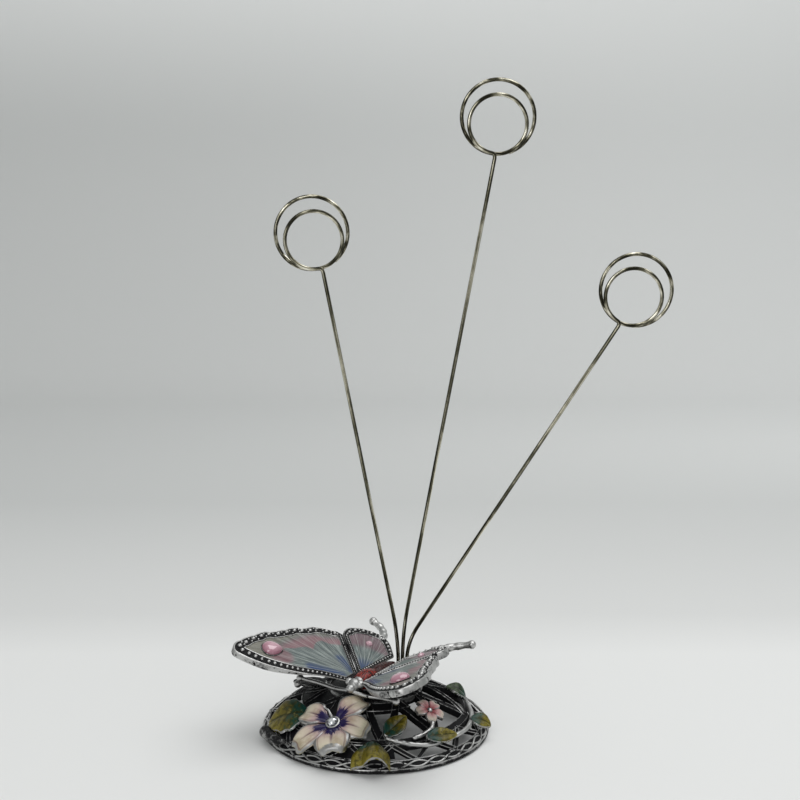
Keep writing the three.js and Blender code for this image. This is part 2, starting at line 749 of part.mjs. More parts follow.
function enamel(name, side, part) {
  const cell = drawnIn(onSide(wingOutlines()[part], side), (point) => point.z + GAP);
  const filling = prism(cell, CELL_FLOOR + GAP, ENAMEL_TOP);
  const toWing = wingSeat(side).invert();
  return piece(name, cut(filling, [bodyForm(GAP).applyMatrix4(toWing)]), wingEnamel);
}

// A pear-shaped polished stone with a flat back
function cabochon(name, side) {
  const profile = [[0, 0]];
  for (let i = 0; i < CABOCHON_STEPS; i += 1) {
    const turn = (Math.PI / 2) * (i / CABOCHON_STEPS);
    profile.push([Math.cos(turn), CABOCHON_EDGE + (1 - CABOCHON_EDGE) * Math.sin(turn)]);
  }
  profile.push([0, 1]);
  const stone = revolved(profile, CABOCHON_SIDES);
  const place = stone.attributes.position;
  for (let i = 0; i < place.count; i += 1) {
    const along = (place.getX(i) * CABOCHON_LENGTH) / 2;
    const across = (place.getY(i) * CABOCHON_WIDTH) / 2;
    const taper = 1 + CABOCHON_TAPER * place.getX(i);
    place.setXYZ(i, along, across * taper, place.getZ(i) * CABOCHON_HEIGHT);
  }
  const mesh = piece(name, stone, pinkStone);
  mesh.position.set(CABOCHON_PLACE[0], side * CABOCHON_PLACE[1], ENAMEL_TOP + GAP);
  mesh.rotation.z = side * rad(CABOCHON_TURN);
  return mesh;
}

// A round faceted stone with a flat back
function crystal(name, radius, material) {
  const girdle = CRYSTAL_GIRDLE * radius;
  const top = CRYSTAL_HEIGHT * radius;
  const profile = [[0, 0], [radius, 0], [radius, girdle], [CRYSTAL_TABLE * radius, top], [0, top]];
  return piece(name, revolved(profile, CRYSTAL_SIDES), material);
}

function wingStone(name, side) {
  const stone = crystal(name, WING_STONE_RADIUS, pinkStone);
  stone.position.set(WING_STONE_PLACE[0], side * WING_STONE_PLACE[1], ENAMEL_TOP + GAP);
  return stone;
}

function butterfly() {
  const group = new THREE.Group();
  group.position.set(BUTTERFLY.x, BUTTERFLY.y, BUTTERFLY_HEIGHT);
  group.rotation.z = -rad(90 + BUTTERFLY_YAW);
  group.add(butterflyBody());
  for (const [label, side] of [['left', -1], ['right', 1]]) {
    const seat = new THREE.Group();
    seat.applyMatrix4(wingSeat(side));
    seat.add(wing(`${label}_wing`, side));
    seat.add(enamel(`${label}_forewing_enamel`, side, 'fore'));
    seat.add(enamel(`${label}_hindwing_enamel`, side, 'hind'));
    seat.add(cabochon(`${label}_cabochon`, side));
    seat.add(wingStone(`${label}_wing_stone`, side));
    group.add(seat, antenna(`${label}_antenna`, side));
  }
  return group;
}

// Flowers, leaves and vine

// A seat on the dome: local Z stands off its surface, local X runs downhill, turned by a heading
function onDome(azimuth, inset, heading, pieces) {
  const seat = new THREE.Group();
  const radius = BASE_RADIUS - inset;
  const tilt = Math.asin(radius / DOME_RADIUS);
  seat.position.set(radius * Math.cos(rad(azimuth)), radius * Math.sin(rad(azimuth)), domeHeight(radius));
  seat.rotation.set(0, tilt, rad(azimuth), 'ZYX');
  const turned = new THREE.Group();
  turned.rotation.z = rad(heading);
  turned.add(...pieces);
  seat.add(turned);
  return seat;
}

// How far the dome falls away below a point of the seat's own plane
function domeFall(x, y) {
  return Math.sqrt(DOME_RADIUS ** 2 - x ** 2 - y ** 2) - DOME_RADIUS;
}

// A leaf that runs to a point, or one whose wide outer end stands up in a hood
function leaf(place, lift = 0, material = leafEnamel) {
  const { length, width, cup = LEAF_CUP, curl = 0, hood = 0 } = place;
  const form = plate(...LEAF_CELLS, (u, v, side) => {
    const pointed = Math.sin(Math.PI * u ** LEAF_POINT) ** LEAF_FULLNESS;
    const open = Math.sin((Math.PI / 2) * Math.min(1, HOOD_WIDENING * u)) ** LEAF_FULLNESS;
    const x = length * (u - 0.5);
    const y = (width / 2) * Math.max(LEAF_END, hood ? open : pointed) * v;
    const crease = cup * v ** 2 * Math.sin(Math.PI * u);
    const crest = hood * Math.sin(HOOD_CREST * Math.PI * u) * (1 - v ** 2);
    const rise = GAP + lift + crease + crest + curl * u ** 2 + side * LEAF_THICKNESS;
    return new THREE.Vector3(x, y, domeFall(x, y) + rise);
  });
  return onDome(place.azimuth, place.inset, place.heading, [piece(place.name, form, material)]);
}

function petal({ length, width, cells }, direction, lifted) {
  const root = PETAL_ROOT * length;
  const lift = PETAL_ARCH * length;
  const cup = PETAL_CUP * length;
  const tipLift = lifted ? PETAL_TIP_LIFT * length : 0;
  const form = plate(...cells, (u, v, side) => {
    const half = (width / 2) * Math.sqrt(1 - ((u - PETAL_WIDEST) / (PETAL_WIDEST + PETAL_NECK)) ** 2);
    const reach = 1 - PETAL_ROUNDING * v ** 4 * u - PETAL_NOTCH * u * (1 - v ** 2) ** 4;
    const x = root + length * u * reach;
    const y = half * v;
    const arch = lift * Math.sin(Math.PI * (0.8 * u + 0.1)) + tipLift * u ** 2;
    const rise = GAP + arch + cup * v ** 2 * u + side * PETAL_THICKNESS;
    return new THREE.Vector3(x, y, domeFall(x, y) + rise);
  });
  return form.rotateZ(rad(direction));
}

// Five petals round a hub whose flat top carries the stone
function flower(name, bloom, material) {
  const { azimuth, inset, petals, lifted, length, stoneRadius } = bloom;
  const hubTop = GAP + HUB_RISE * length + PETAL_THICKNESS;
  const hub = upright(stoneRadius + HUB_COLLAR, GAP, hubTop, HUB_SIDES);
  const forms = petals.map((direction, i) => petal(bloom, direction - azimuth, lifted.includes(i)));
  const stone = crystal(`${name}_stone`, stoneRadius, clearStone);
  stone.position.z = hubTop + GAP;
  return onDome(azimuth, inset, 0, [piece(name, join(hub, forms), material), stone]);
}

function vine(name, route) {
  const points = route.map(([azimuth, inset]) => {
    const radius = BASE_RADIUS - inset;
    const place = polar(azimuth, radius);
    const normal = new THREE.Vector3(place.x, place.y, domeHeight(radius) - DOME_CENTRE).normalize();
    const stand = GAP + VINE_RADIUS;
    return new THREE.Vector3(place.x, place.y, domeHeight(radius)).addScaledVector(normal, stand);
  });
  const curve = new THREE.CatmullRomCurve3(points);
  return piece(name, rod(curve, ROD_STEPS * (route.length - 1), VINE_RADIUS, ROD_SIDES), pewter);
}

// The bud lies on the rim, beside the tip of the left leaf
function rimBud() {
  const beside = LEAVES[0];
  const apart = (beside.width * LEAF_TIP_SHARE + RIM_BUD.width) / 2;
  const turn = THREE.MathUtils.radToDeg(apart / (BASE_RADIUS - RIM_BUD.inset));
  return leaf({ name: 'rim_bud', azimuth: beside.azimuth - turn, ...RIM_BUD }, 0, pewter);
}

function leaves() {
  const overVine = 2 * VINE_RADIUS + GAP;
  return [
    ...LEAVES.map((place) => leaf(place)),
    ...LEAVES_OVER_VINE.map((place) => leaf(place, overVine)),
    rimBud(),
  ];
}

function noteHolder() {
  const holder = new THREE.Group();
  holder.add(baseCasting(), wireSocket(), ...clips(), butterfly(), ...leaves());
  holder.add(flower('large_flower', LARGE_FLOWER, petalEnamel));
  holder.add(flower('small_flower', SMALL_FLOWER, pinkEnamel));
  holder.add(vine('vine', VINE_ROUTE), vine('vine_branch', BRANCH_ROUTE));
  return holder;
}

export default noteHolder();
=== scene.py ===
import json
import math
from types import SimpleNamespace

import bmesh
import bpy
import numpy as np
from mathutils import Matrix, Vector


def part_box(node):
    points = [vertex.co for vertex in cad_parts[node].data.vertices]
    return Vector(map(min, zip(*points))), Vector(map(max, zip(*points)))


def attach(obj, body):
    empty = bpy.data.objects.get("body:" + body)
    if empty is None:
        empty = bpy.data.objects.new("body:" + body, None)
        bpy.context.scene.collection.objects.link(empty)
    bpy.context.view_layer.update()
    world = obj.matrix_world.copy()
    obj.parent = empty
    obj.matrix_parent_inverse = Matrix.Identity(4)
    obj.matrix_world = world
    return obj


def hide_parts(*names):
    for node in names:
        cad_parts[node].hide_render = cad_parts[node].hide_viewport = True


# Note holder: a jewelled butterfly on an openwork pewter dome, with three sprung wire clips.
# Lengths are millimetres until a mesh is made. Each piece stands for one solid, or is trim on one.

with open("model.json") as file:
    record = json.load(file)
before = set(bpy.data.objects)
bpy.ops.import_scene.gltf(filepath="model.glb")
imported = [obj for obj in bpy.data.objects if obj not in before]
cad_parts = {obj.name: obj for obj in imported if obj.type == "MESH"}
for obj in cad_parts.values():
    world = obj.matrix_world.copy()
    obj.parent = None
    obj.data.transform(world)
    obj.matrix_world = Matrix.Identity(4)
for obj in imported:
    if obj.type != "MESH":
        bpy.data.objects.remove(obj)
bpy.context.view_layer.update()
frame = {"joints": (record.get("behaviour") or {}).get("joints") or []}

MM = 0.001
TURN = 2 * math.pi
GAP = 0.3
# Points this near, in metres, become one; edges shorter than the second go
WELD = 2e-6
SLIVER = 1e-7
SIDES = {"left": -1, "right": 1}

# Dome
BASE_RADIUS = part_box("base_casting")[1].x / MM
RIM_WIDTH = 2.6
RIM_HEIGHT = 2.2
RIM_LIP = 1.3
CROWN_HEIGHT = 16
DOME_WALL = 2
THIN_WALL = 1.2
SHOULDER_RADIUS = BASE_RADIUS - RIM_LIP
FOOT_INNER_RADIUS = BASE_RADIUS - RIM_WIDTH
DOME_RISE = CROWN_HEIGHT - RIM_HEIGHT
DOME_RADIUS = (SHOULDER_RADIUS**2 + DOME_RISE**2) / (2 * DOME_RISE)
DOME_CENTRE = CROWN_HEIGHT - DOME_RADIUS

# Openwork: straps run a little way into what they join
CROWN_PLATE_RADIUS = 15.4
RING_RADIUS = BASE_RADIUS - 7.3
RING_WIDTH = 2
RIB_COUNT = 10
RIB_WIDTH = 2.4
RIB_SWIRL = 14
RIB_HEAD = 14
RIB_FOOT = RING_RADIUS - 0.6
FIRST_RIB = -64
STRUT_PAIRS = 15
STRUT_WIDTH = 1.6
STRUT_HEAD = RING_RADIUS + 0.7
STRUT_FOOT = FOOT_INNER_RADIUS + 0.4
STRUT_SHINE = 1.5
FIRST_STRUT = -69
RIB_STEPS = 14
STRUT_STEPS = 6
PATINA_AND_SHADE_FIELD_STEPS = 28

# Broad black fields of the dome, patinated ground that also stands in for the shade seen through its
# openings: azimuth and radius of both ends, and the width
PATINA_AND_SHADE_FIELDS = [
    ((-158, 32.4), (-80, 32.4), 6),
    ((150, 19), (236, 21), 10),
    ((-106, 17.2), (-54, 16.6), 4.6),
]
SHOULDER_LEAF = dict(length=10.4, width=12, curl=4.6, tilt=-1.5)
SHOULDER_LEAF_SEAT = (178, 16.8, 0)

# Edges in section: how far in from the side, how high, and how bright the metal is rubbed
STRAP_EDGE = [(0, -0.2, 0.1), (0.05, 0.1, 0.42), (0.16, 0.2, 0.54), (0.27, 0.08, 0.36), (0.38, -0.12, 0)]
RING_EDGE = [(0, -0.2, 0.1), (0.2, 0.2, 0.6), (0.45, -0.1, 0)]
RIM_OUTER_SIDE = [
    (0.5, 0, 0.1), (0, 0.45, 0.3), (0, 1.05, 0.35), (0.2, 1.4, 0.8), (0.6, 1.5, 0), (RIM_LIP, 2.05, 0),
]
RIM_INNER_EDGE = [(0.6, -0.45, 0.1), (0.3, 0, 0.7), (0, -0.3, 0.1)]
PLATE_SHINE = 0.1
PLATE_EDGE_SHINE = 0.7

# Rim braid
BRAID_RADIUS = 36.1
BRAID_HEIGHT = 2.2
BRAID_WAVES = 17
BRAID_SWAY = 0.9
BRAID_DIP = 0.14
BRAID_SLOPE = (-0.72, 0.7)
BRAID_SHINE = 0.6
STRAND_RADIUS = 0.3
STRAND_STEPS = 680
STRAND_SIDES = 8

# Butterfly
BUTTERFLY_PLACE = (-2, -7.3, CROWN_HEIGHT + 2.7)
BUTTERFLY_YAW = 33.4
BODY_LIFT = 0.8
BODY_STATIONS = [
    (-14.8, 0.05), (-14.55, 0.86), (-10.34, 1.97), (-5.38, 2.4), (-2.65, 1.92), (-1.25, 2.48),
    (1.82, 3.1), (4.9, 2.67), (7.2, 1.76), (8.64, 2.2), (10.08, 1.63), (10.8, 0.05),
]
THORAX_RADIUS = max(radius for _, radius in BODY_STATIONS)
BODY_SPACING = 0.12
WAIST = -2.4
HEAD = 6
HEAD_FADE = 0.6
ABDOMEN_RING = 1.35
GROOVE_SHARE = 0.35
GROOVE_DEPTH = 0.09
EYE_PLACE = (8.4, 2.1, 0.6)
EYE_RADIUS = 1.3
EYE_SHINE = 0.95
SNOUT_PLACE = (10.8, 0, -0.5)
SNOUT_RADIUS = 1.4
STUD_RADIUS = 1.5
STUD_FOOT = -4.7
ANTENNA_ROUTE = [(10.4, 0.8, -1.5), (9.8, 6, -2.1), (8.8, 12, -2.1), (9.4, 18.4, -1.7)]
LEFT_ANTENNA_CURL = (0.4, -0.7, -2.1)
ANTENNA_STRETCH = {"left": 1.14, "right": 0.87}
ANTENNA_RADIUS = 0.65
ANTENNA_BALL_RADIUS = 1.25
ANTENNA_SHINE = 0.85
ANTENNA_BALL_SHINE = 0.9
ANTENNA_CURL_SHINE = 0.6

# Post on the crown that the butterfly's stud goes through
POST_RADIUS = 3.2
POST_FOOT = 13
POST_BORE = 1.8
POST_EDGE = 0.4

# Wings
WING_DIHEDRAL = 22
TIP_WIDTH = 4.2
BORDER_WIDTH = 3.4
SEAM_WIDTH = 2
ROOT_WIDTH = 1.5
BORDER_SLOPE = 0.6
WIDTH_EASE = 0.8

# Wing outline from above: forward along the body, and out from it
WING_ROOT = (9, 2.6)
LEADING_EDGE = [(13.8, 8.1), (21.4, 14.9), (27.6, 22.8)]
WING_TIP = [(31, 30.8), (30.6, 34.2), (27, 36.3)]
OUTER_MARGIN = [(20.6, 36.2), (14, 35.4), (9.7, 33.5), (3.2, 32), (-1.6, 29.5), (-5.6, 28.1)]
FORE_CORNER = (-10.4, 22.6)
NOTCH = (-11, 20)
HIND_CORNER = [(-13.2, 21.4), (-16.8, 21.6), (-21.4, 18.7)]
TAIL_ROOT = [(-24.2, 14.2), (-25, 11.6)]
INNER_MARGIN = [(-22.8, 7.4)]
INNER_CORNER = (-17.8, 2.2)
CELL_SPLIT = (3.4, 2.6)
OUTLINE_STEPS = 12
OUTLINE_SPACING = 0.3
OUTLINE_INSET = 0.22
MARGIN_PLACES = [-22, -12, -4, 4, 12, 20]
MARGIN_SHARES = [1, 0.9, 0.87, 0.89, 0.94, 1]
MARGIN_FADE = 15
SCALLOP_COUNT = 7
SCALLOP_DEPTH = 0.4
SCALLOP_FADE = 8

# Section of a wing's border: share of its width, height and rubbed brightness
BORDER_SECTION = [
    (0.1, -1.5, 0.2), (0.0, -1.3, 0.6), (0.0, 1.05, 0.68), (0.03, 1.2, 0.95), (0.07, 1.27, 1.0),
    (0.12, 1.22, 0.9), (0.15, 1.08, 0.0), (0.86, 1.08, 0.0), (0.89, 1.2, 0.7), (0.925, 1.25, 0.85),
    (0.96, 1.2, 0.7), (1.0, 0.6, 0.1),
]
OUTER_EDGE_SHARE = 0.2
SEAM_SHINE = 0.4

# The wing's underside rises towards the body, from a distance out and over a width
ROOT_THINNING = 2
THINNING_FROM = 7
THINNING_OVER = 16

# Beads of the border: radius and place as shares of its width, height of its floor, and spacing in radii
BEAD_SHARES = {"edge": 0.165, "margin": 0.175, "split": 0.13, "inner": 0.2}
BAND_FLOOR = 1.08
BAND_MIDDLE = 0.505
PAIR_SHARES = (0.33, 0.7)
PAIR_SIZE = 0.5
BEAD_STAND = 0.3
BEAD_STEP = 3.5
MARGIN_STEP = 1.35

# Tail of a wing: its route from above, the heights of its points, and its thickness
TAIL_ROUTE = [(-23.2, 11.8), (-26.8, 12.9), (-29.6, 16.2)]
TAIL_END = {-1: (-30.4, 20.2), 1: (-31, 21.5)}
TAIL_HEIGHTS = {-1: (0.2, 0.2, 0.2, 0.2), 1: (0.2, -0.2, -0.8, -1.6)}
TAIL_RADIUS = 1.5
TAIL_TAPER = 0.4
TAIL_KNOTS = 4.5
TAIL_KNOT_DEPTH = 0.1
TAIL_KNOB_RADIUS = 1.45
TAIL_SHINE = 0.75

# Colours of a wing: bearings and distances from the root of its veins, and how softly they fade
VEIN_ROOT = {"fore": (4, 3), "hind": (0.5, 2.5)}
VEIN_STEP = {"fore": 9, "hind": 8}
CELL_MIDDLE = {"fore": (9, 20), "hind": (-12.5, 10)}
ZIGZAG_BEARINGS = [40, 63, 69, 79, 82, 95, 104, 108, 118]
ZIGZAG_INNER = [26, 24.2, 21.2, 19, 16.4, 18.4, 18.7, 16.6, 15.8]
ZIGZAG_OUTER = [29, 28.4, 27.6, 26.2, 25.6, 25.2, 24, 22.6, 22]
ZIGZAG_INNER_FADE = 0.8
ZIGZAG_OUTER_FADE = 4
OLIVE_LEAD = 3
ROSY_SPOT = (19.4, 22.6)
ROSY_SPOT_RADIUS = 4.8
ROSY_SPOT_SHARE = 0.8
BLUE_STREAKS = [((8.4, 6.0), (14.6, 14.2)), ((3.2, 5.6), (1.4, 11.8))]
BLUE_STREAK_RADIUS = 2.6
SPOT_FADE = 2
HIND_ROSY_FROM = 14
HIND_ROSY_FADE = 3
HIND_BLUE_TO = 10
HIND_BLUE_FADE = 5

# Enamel of a wing: heights in its cell, and the flutes between the veins
ENAMEL_RINGS = 34
ENAMEL_FOOT = 0.7
ENAMEL_EDGE = 1.03
ENAMEL_SWELL = 0.14
ENAMEL_CLEARANCE = 0.02
FLUTE_DEPTH = 0.09
FLUTE_FADE = 8

# Stones
STONE_SEAT = 1.2
CABOCHON_PLACE = (19.8, 26.6)
CABOCHON_TURN = 38
CABOCHON_LENGTH = 6.8
CABOCHON_WIDTH = 6
CABOCHON_HEIGHT = 2.2
CABOCHON_GIRDLE = 0.5
CABOCHON_TAPER = 0.3
CABOCHON_POINT = 0.25
PEAR_SIDES = 48
WING_STONE_PLACE = (-15.2, 11.6)
WING_STONE_RADIUS = 1.2
# Bezel of a pear stone: share of the stone's size, height and rubbed brightness
BEZEL = [(1.1, -0.1, 0.1), (1.1, 0.1, 0.3), (1.06, 0.28, 0.5), (1.01, 0.2, 0.2), (0.98, -0.1, 0)]
# Rows of a round stone's facets: shares of its radius out and up, and the turn in facets
FACETS = 8
FACET_ROWS = [(1.0, 0.0, 0), (1.0, 0.22, 0), (0.86, 0.46, 0.5), (0.55, 0.74, 0), (0.3, 0.78, 0.5)]

# Spring wire and its socket
WIRE_RADIUS = 0.63
WIRE_SPACING = 1.4
WIRE_SIDES = 20
SOCKET_PLACE = (9, 8)
SOCKET_SEAT = CROWN_HEIGHT - 2.8
SOCKET_HEIGHT = 4.3
SOCKET_BORE = 0.82
SOCKET_WALL = 1
SOCKET_FLOOR = 1
COLLAR_HEIGHT = 1.4
COLLAR_DEPTH = 2
COLLAR_WALL = 1
COLLAR_EDGE = 0.3
# Socket's side from its foot up, then from below its top: how far in, how high, how bright
SOCKET_FOOT = [(0, 0, 0.2), (0, 0.5, 0.8), (0.2, 0.8, 0.1)]
SOCKET_HEAD = [(0.2, -1.1, 0.1), (0, -0.8, 0.8), (0, -0.3, 0.9), (0.25, 0, 1)]
SOCKET_MOUTH = [(0.1, 0, 0.7), (0, -0.2, 0)]
FRONT_TURN_RADIUS = 9.24
BACK_TURN_RADIUS = 11.65
TURN_PITCH = 1.55
TURN_STEPS = 120
RING_LEAN = 6
CORNER_BEND = 1.6
BACK_TURN_SWEEP = 338
STEMS = {
    "left": SimpleNamespace(slot=-1, bend=13.8, leg=9),
    "middle": SimpleNamespace(slot=0, bend=15.8, leg=10),
    "right": SimpleNamespace(slot=1, bend=12.4, leg=7),
}
for joint in frame["joints"]:
    stem = STEMS[joint["name"].split("_")[0]]
    stem.reach, _, stem.height = np.array(joint["pos_m"]) / MM

# Flowers, leaves and vine: azimuth, and how far in from the rim
LARGE_FLOWER = SimpleNamespace(
    azimuth=-119, inset=10.9, petals=[-92, -26, 36, 141, 206], lifts=[0.32, 0, 0, 0, 0.18], stone=1.75,
    lengths=[11.8, 11, 12.2, 12.2, 13.2], widths=[11.8, 9.4, 9.6, 9.2, 8.4], rises=[0.5, 0, 0.5, 0.2, 0],
)
SMALL_FLOWER = SimpleNamespace(
    azimuth=-45, inset=13.9, petals=[-80, -8, 64, 136, 208], lifts=[0] * 5, stone=0.65,
    lengths=[4.6] * 5, widths=[4] * 5, rises=[0.3, 0, 0.3, 0, 0.15],
)
# Hub of a flower: share of its ring out from the stone, height over its top, and rubbed brightness
HUB_RING = 0.34
HUB_EDGE = [(1, -0.2, 0.4), (0.9, 0.25, 0.9), (0.2, 0.35, 0.95), (0, 0, 0.1)]
HUB_HEIGHT = 0.07
HUB_MIDDLE = 0.2
CRYSTAL_LIFT = 0.1
CALYX_SHARE = 0.68
CALYX_THICKNESS = 0.5
TENDRIL_ROUTE = [(1.9, -0.2, 1.4), (3.2, 0.2, 2.4), (4.6, 0.6, 3.2), (5.8, 1.7, 3.5)]
TENDRIL_RADII = (0.6, 0.2)
TENDRIL_DIRECTION = 96
TENDRIL_SHINE = 0.5
PETAL_GRID = (41, 37)
PETAL_THICKNESS = 1.2
PETAL_FOOT = 0.12
PETAL_WIDEST = 0.58
LEAF_GRID = (41, 33)
LEAF_THICKNESS = 1.2
LEAF_VEINS = 5
VEIN_SLANT = 1.2
HOOD_MIDDLE = 0.3
# A black rod under the front leaf's hood: painted shade filling its hollow
HOOD_SHADE_ROUTE = [(0.8, 0.4, 1.0), (0.8, 1.8, 1.0), (0.8, 3.2, 1.0)]
HOOD_SHADE_RADIUS = 1.7
VINE_ROUTE = [
    (-83, 7.9), (-76, 6.7), (-68, 5.5), (-58, 4.7), (-40, 4.7), (-26, 4.9), (-12, 6.1), (2, 7.9),
]
BRANCH_ROUTE = [(-67, 7.4), (-60, 7.9), (-53, 9), (-48, 11)]
VINE_RADIUS = 0.75
VINE_SHINE = 1.1
VINE_KNOTS = [(0.08, 0.9), (0.06, 0.37)]
RIM_BUD_ROUTE = [(-161.5, 36.4), (-156, 36.3), (-150, 36), (-145, 35.6)]
RIM_BUD_RADII = (2.1, 1.3)
RIM_BUD_LIFT = 1.3
RIM_BUD_SHINE = 0.4

# Stage, lights and camera, in metres
SWEEP_HALF_WIDTH = 9
SWEEP_FRONT = 9
SWEEP_BACK = 1.1
SWEEP_HEIGHT = 2.6
SWEEP_BEND = 0.3
SWEEP_DROP = 0.0002
LIGHTS = [
    SimpleNamespace(name="overhead", place=(0.28, 0.05, 0.95), target=(0, 0, 0), size=1.0, power=5.8),
    SimpleNamespace(name="front", place=(-0.35, -0.9, 0.6), target=(0, 0, 0.05), size=0.6, power=2.2),
]
ROOM_COLOUR = (0.98, 1.0, 0.99, 1)
ROOM_STRENGTH = 0.46
CAMERA_PLACE = (0, -0.3803, 0.1601)
CAMERA_PITCH = -7.66
CAMERA_LENS = 54
CAMERA_SENSOR = 36
CAMERA_SHIFT = 0.0304
CAMERA_NEAR = 0.01


# Places

def rotation(degrees, axis):
    return Matrix.Rotation(math.radians(degrees), 4, axis)


def moved(points, matrix):
    """The points taken through a matrix."""
    turn = np.array(matrix.to_3x3())
    return np.asarray(points, float) @ turn.T + np.array(matrix.translation)


def dome_height(radius, wall=0):
    return DOME_CENTRE + math.sqrt((DOME_RADIUS - wall) ** 2 - radius**2)


def on_dome(azimuth, radius, lift=0.0):
    """A point over the dome, and the dome's normal there."""
    turn = math.radians(azimuth)
    point = np.array([radius * math.cos(turn), radius * math.sin(turn), dome_height(radius)])
    normal = point - np.array([0, 0, DOME_CENTRE])
    normal /= np.linalg.norm(normal)
    return point + lift * normal, normal


def dome_seat(azimuth, inset, heading=0):
    """Local Z stands off the dome, local X runs downhill, turned by the heading."""
    radius = BASE_RADIUS - inset
    point, _ = on_dome(azimuth, radius)
    tilt = math.degrees(math.asin(radius / DOME_RADIUS))
    place = Matrix.Translation(Vector(point))
    return place @ rotation(azimuth, "Z") @ rotation(tilt, "Y") @ rotation(heading, "Z")


def dome_fall(x, y):
    """How far the dome falls away below a point of a seat's own plane."""
    return np.sqrt(DOME_RADIUS**2 - x**2 - y**2) - DOME_RADIUS


BUTTERFLY = Matrix.Translation(Vector(BUTTERFLY_PLACE)) @ rotation(-90 - BUTTERFLY_YAW, "Z")


def wing_seat(side):
    return BUTTERFLY @ rotation(side * WING_DIHEDRAL, "X")


# Curves

def spline(points, steps):
    """A smooth line through the points, with so many steps between two of them."""
    points = np.asarray(points, float)
    padded = np.vstack([points[:1], points, points[-1:]])
    line = [points[0]]
    for k in range(len(points) - 1):
        a, b, c, d = padded[k : k + 4]
        for t in np.arange(1, steps + 1) / steps:
            pull = (c - a) * t + (2 * a - 5 * b + 4 * c - d) * t**2 + (3 * b - a - 3 * c + d) * t**3
            line.append(b + pull / 2)
    return np.array(line)


def spaced(line, spacing):
    """The line again, with evenly spaced points."""
    line = np.asarray(line, float)
    steps = np.linalg.norm(np.diff(line, axis=0), axis=1)
    along = np.concatenate([[0], np.cumsum(steps)])
    count = max(2, int(round(along[-1] / spacing)) + 1)
    stations = np.linspace(0, along[-1], count)
    return np.column_stack([np.interp(stations, along, line[:, k]) for k in range(line.shape[1])])


def drawn_in(outline, distance):
    """An anticlockwise outline drawn in by a distance at each point; crossings are pulled into a corner."""
    count = len(outline)
    distance = np.broadcast_to(np.asarray(distance, float), count)
    leaving = np.roll(outline, -1, axis=0) - outline
    ahead = leaving / np.linalg.norm(leaving, axis=1)[:, None]
    bisector = ahead + np.roll(ahead, 1, axis=0)
    inward = np.column_stack([-bisector[:, 1], bisector[:, 0]])
    inward /= np.linalg.norm(inward, axis=1)[:, None]
    drawn = outline + inward * distance[:, None]
    offset = drawn[:, None, :] - outline[None, :, :]
    share = np.clip((offset * leaving).sum(2) / (leaving**2).sum(1), 0, 1)
    apart = np.linalg.norm(offset - share[..., None] * leaving, axis=2)
    nearly = 0.94
    clear = apart >= nearly * np.minimum(distance[:, None], distance[None, :])
    good = np.flatnonzero(clear.all(1))
    stations = np.concatenate([good - count, good, good + count])
    return np.column_stack([
        np.interp(np.arange(count), stations, np.tile(drawn[good, k], 3)) for k in range(2)
    ])


def smooth(value):
    """Nought to one with a soft start and end."""
    value = np.clip(value, 0, 1)
    return value * value * (3 - 2 * value)


# Shells and pieces

def shell(points, faces, corners=None, finish=0, **values):
    """A closed skin: points, faces, texture corners, the finish's number and values on the points."""
    points = np.asarray(points, float)
    return SimpleNamespace(points=points, faces=faces, corners=corners, finish=finish, values=values)


def grid(rows, columns, closed=False):
    """Faces and texture corners of a grid of points; a closed one joins its last column to its first."""
    faces, corners = [], []
    across = columns if closed else columns - 1
    high = 1 / (rows - 1)
    wide = 1 / across
    for i in range(rows - 1):
        for j in range(across):
            k = (j + 1) % columns
            faces.append([i * columns + j, i * columns + k, (i + 1) * columns + k, (i + 1) * columns + j])
            u, v = i * high, j * wide
            corners.append([(u, v), (u, v + wide), (u + high, v + wide), (u + high, v)])
    return faces, corners


def loops(rings, finish=0, **values):
    """A skin through closed rings of equal count; the first and last ring are filled."""
    rings = np.asarray(rings, float)
    rows, columns = rings.shape[:2]
    faces, corners = grid(rows, columns, closed=True)
    first = list(range(columns))[::-1]
    last = list(range((rows - 1) * columns, rows * columns))
    faces += [first, last]
    corners += [[(0, 0)] * columns, [(1, 0)] * columns]
    spread = {}
    for key, value in values.items():
        by_row = np.ndim(value) == 1 and len(value) == rows
        spread[key] = np.repeat(np.asarray(value, float), columns) if by_row else value
    return shell(rings.reshape(-1, 3), faces, corners, finish, **spread)


def tube(path, radius, sides, round_ends=True, finish=0, **values):
    """A round rod along a path, with round or flat ends."""
    path = np.asarray(path, float)
    radii = np.broadcast_to(np.asarray(radius, float), len(path))
    tangents = np.gradient(path, axis=0)
    tangents /= np.linalg.norm(tangents, axis=1)[:, None]
    stations = list(zip(path, tangents, radii))
    if round_ends:
        head, tail = half_ball(*stations[0], -1), half_ball(*stations[-1], 1)
        stations = head + stations + tail[::-1]
    aslant = [0.3, 0.9, 0.2]
    side = np.cross(tangents[0], aslant)
    turns = TURN * np.arange(sides) / sides
    rings = []
    for centre, tangent, size in stations:
        side = side - tangent * side.dot(tangent)
        side /= np.linalg.norm(side)
        other = np.cross(tangent, side)
        rings.append(centre + size * (np.outer(np.cos(turns), side) + np.outer(np.sin(turns), other)))
    return loops(rings, finish, **values)


def half_ball(centre, tangent, radius, way):
    """Stations that close a rod's end, from the pole back to the rod."""
    bends = np.radians([80, 60, 40, 20])
    return [(centre + way * tangent * radius * math.sin(a), tangent, radius * math.cos(a)) for a in bends]


def ring(radius, height, sides, shift=0):
    """Points round Z, turned by so many of its sides."""
    turns = TURN * (np.arange(sides) + shift) / sides
    return np.column_stack([radius * np.cos(turns), radius * np.sin(turns), np.full(sides, height)])


def lathe(profile, sides, finish=0, **values):
    """A skin turned about Z from (radius, height) points."""
    return loops([ring(r, z, sides) for r, z in profile], finish, **values)


def worn_lathe(section, sides, finish=0):
    """A skin turned about Z from points of radius, height and rubbed brightness."""
    return lathe([row[:2] for row in section], sides, finish, bright=[row[2] for row in section])


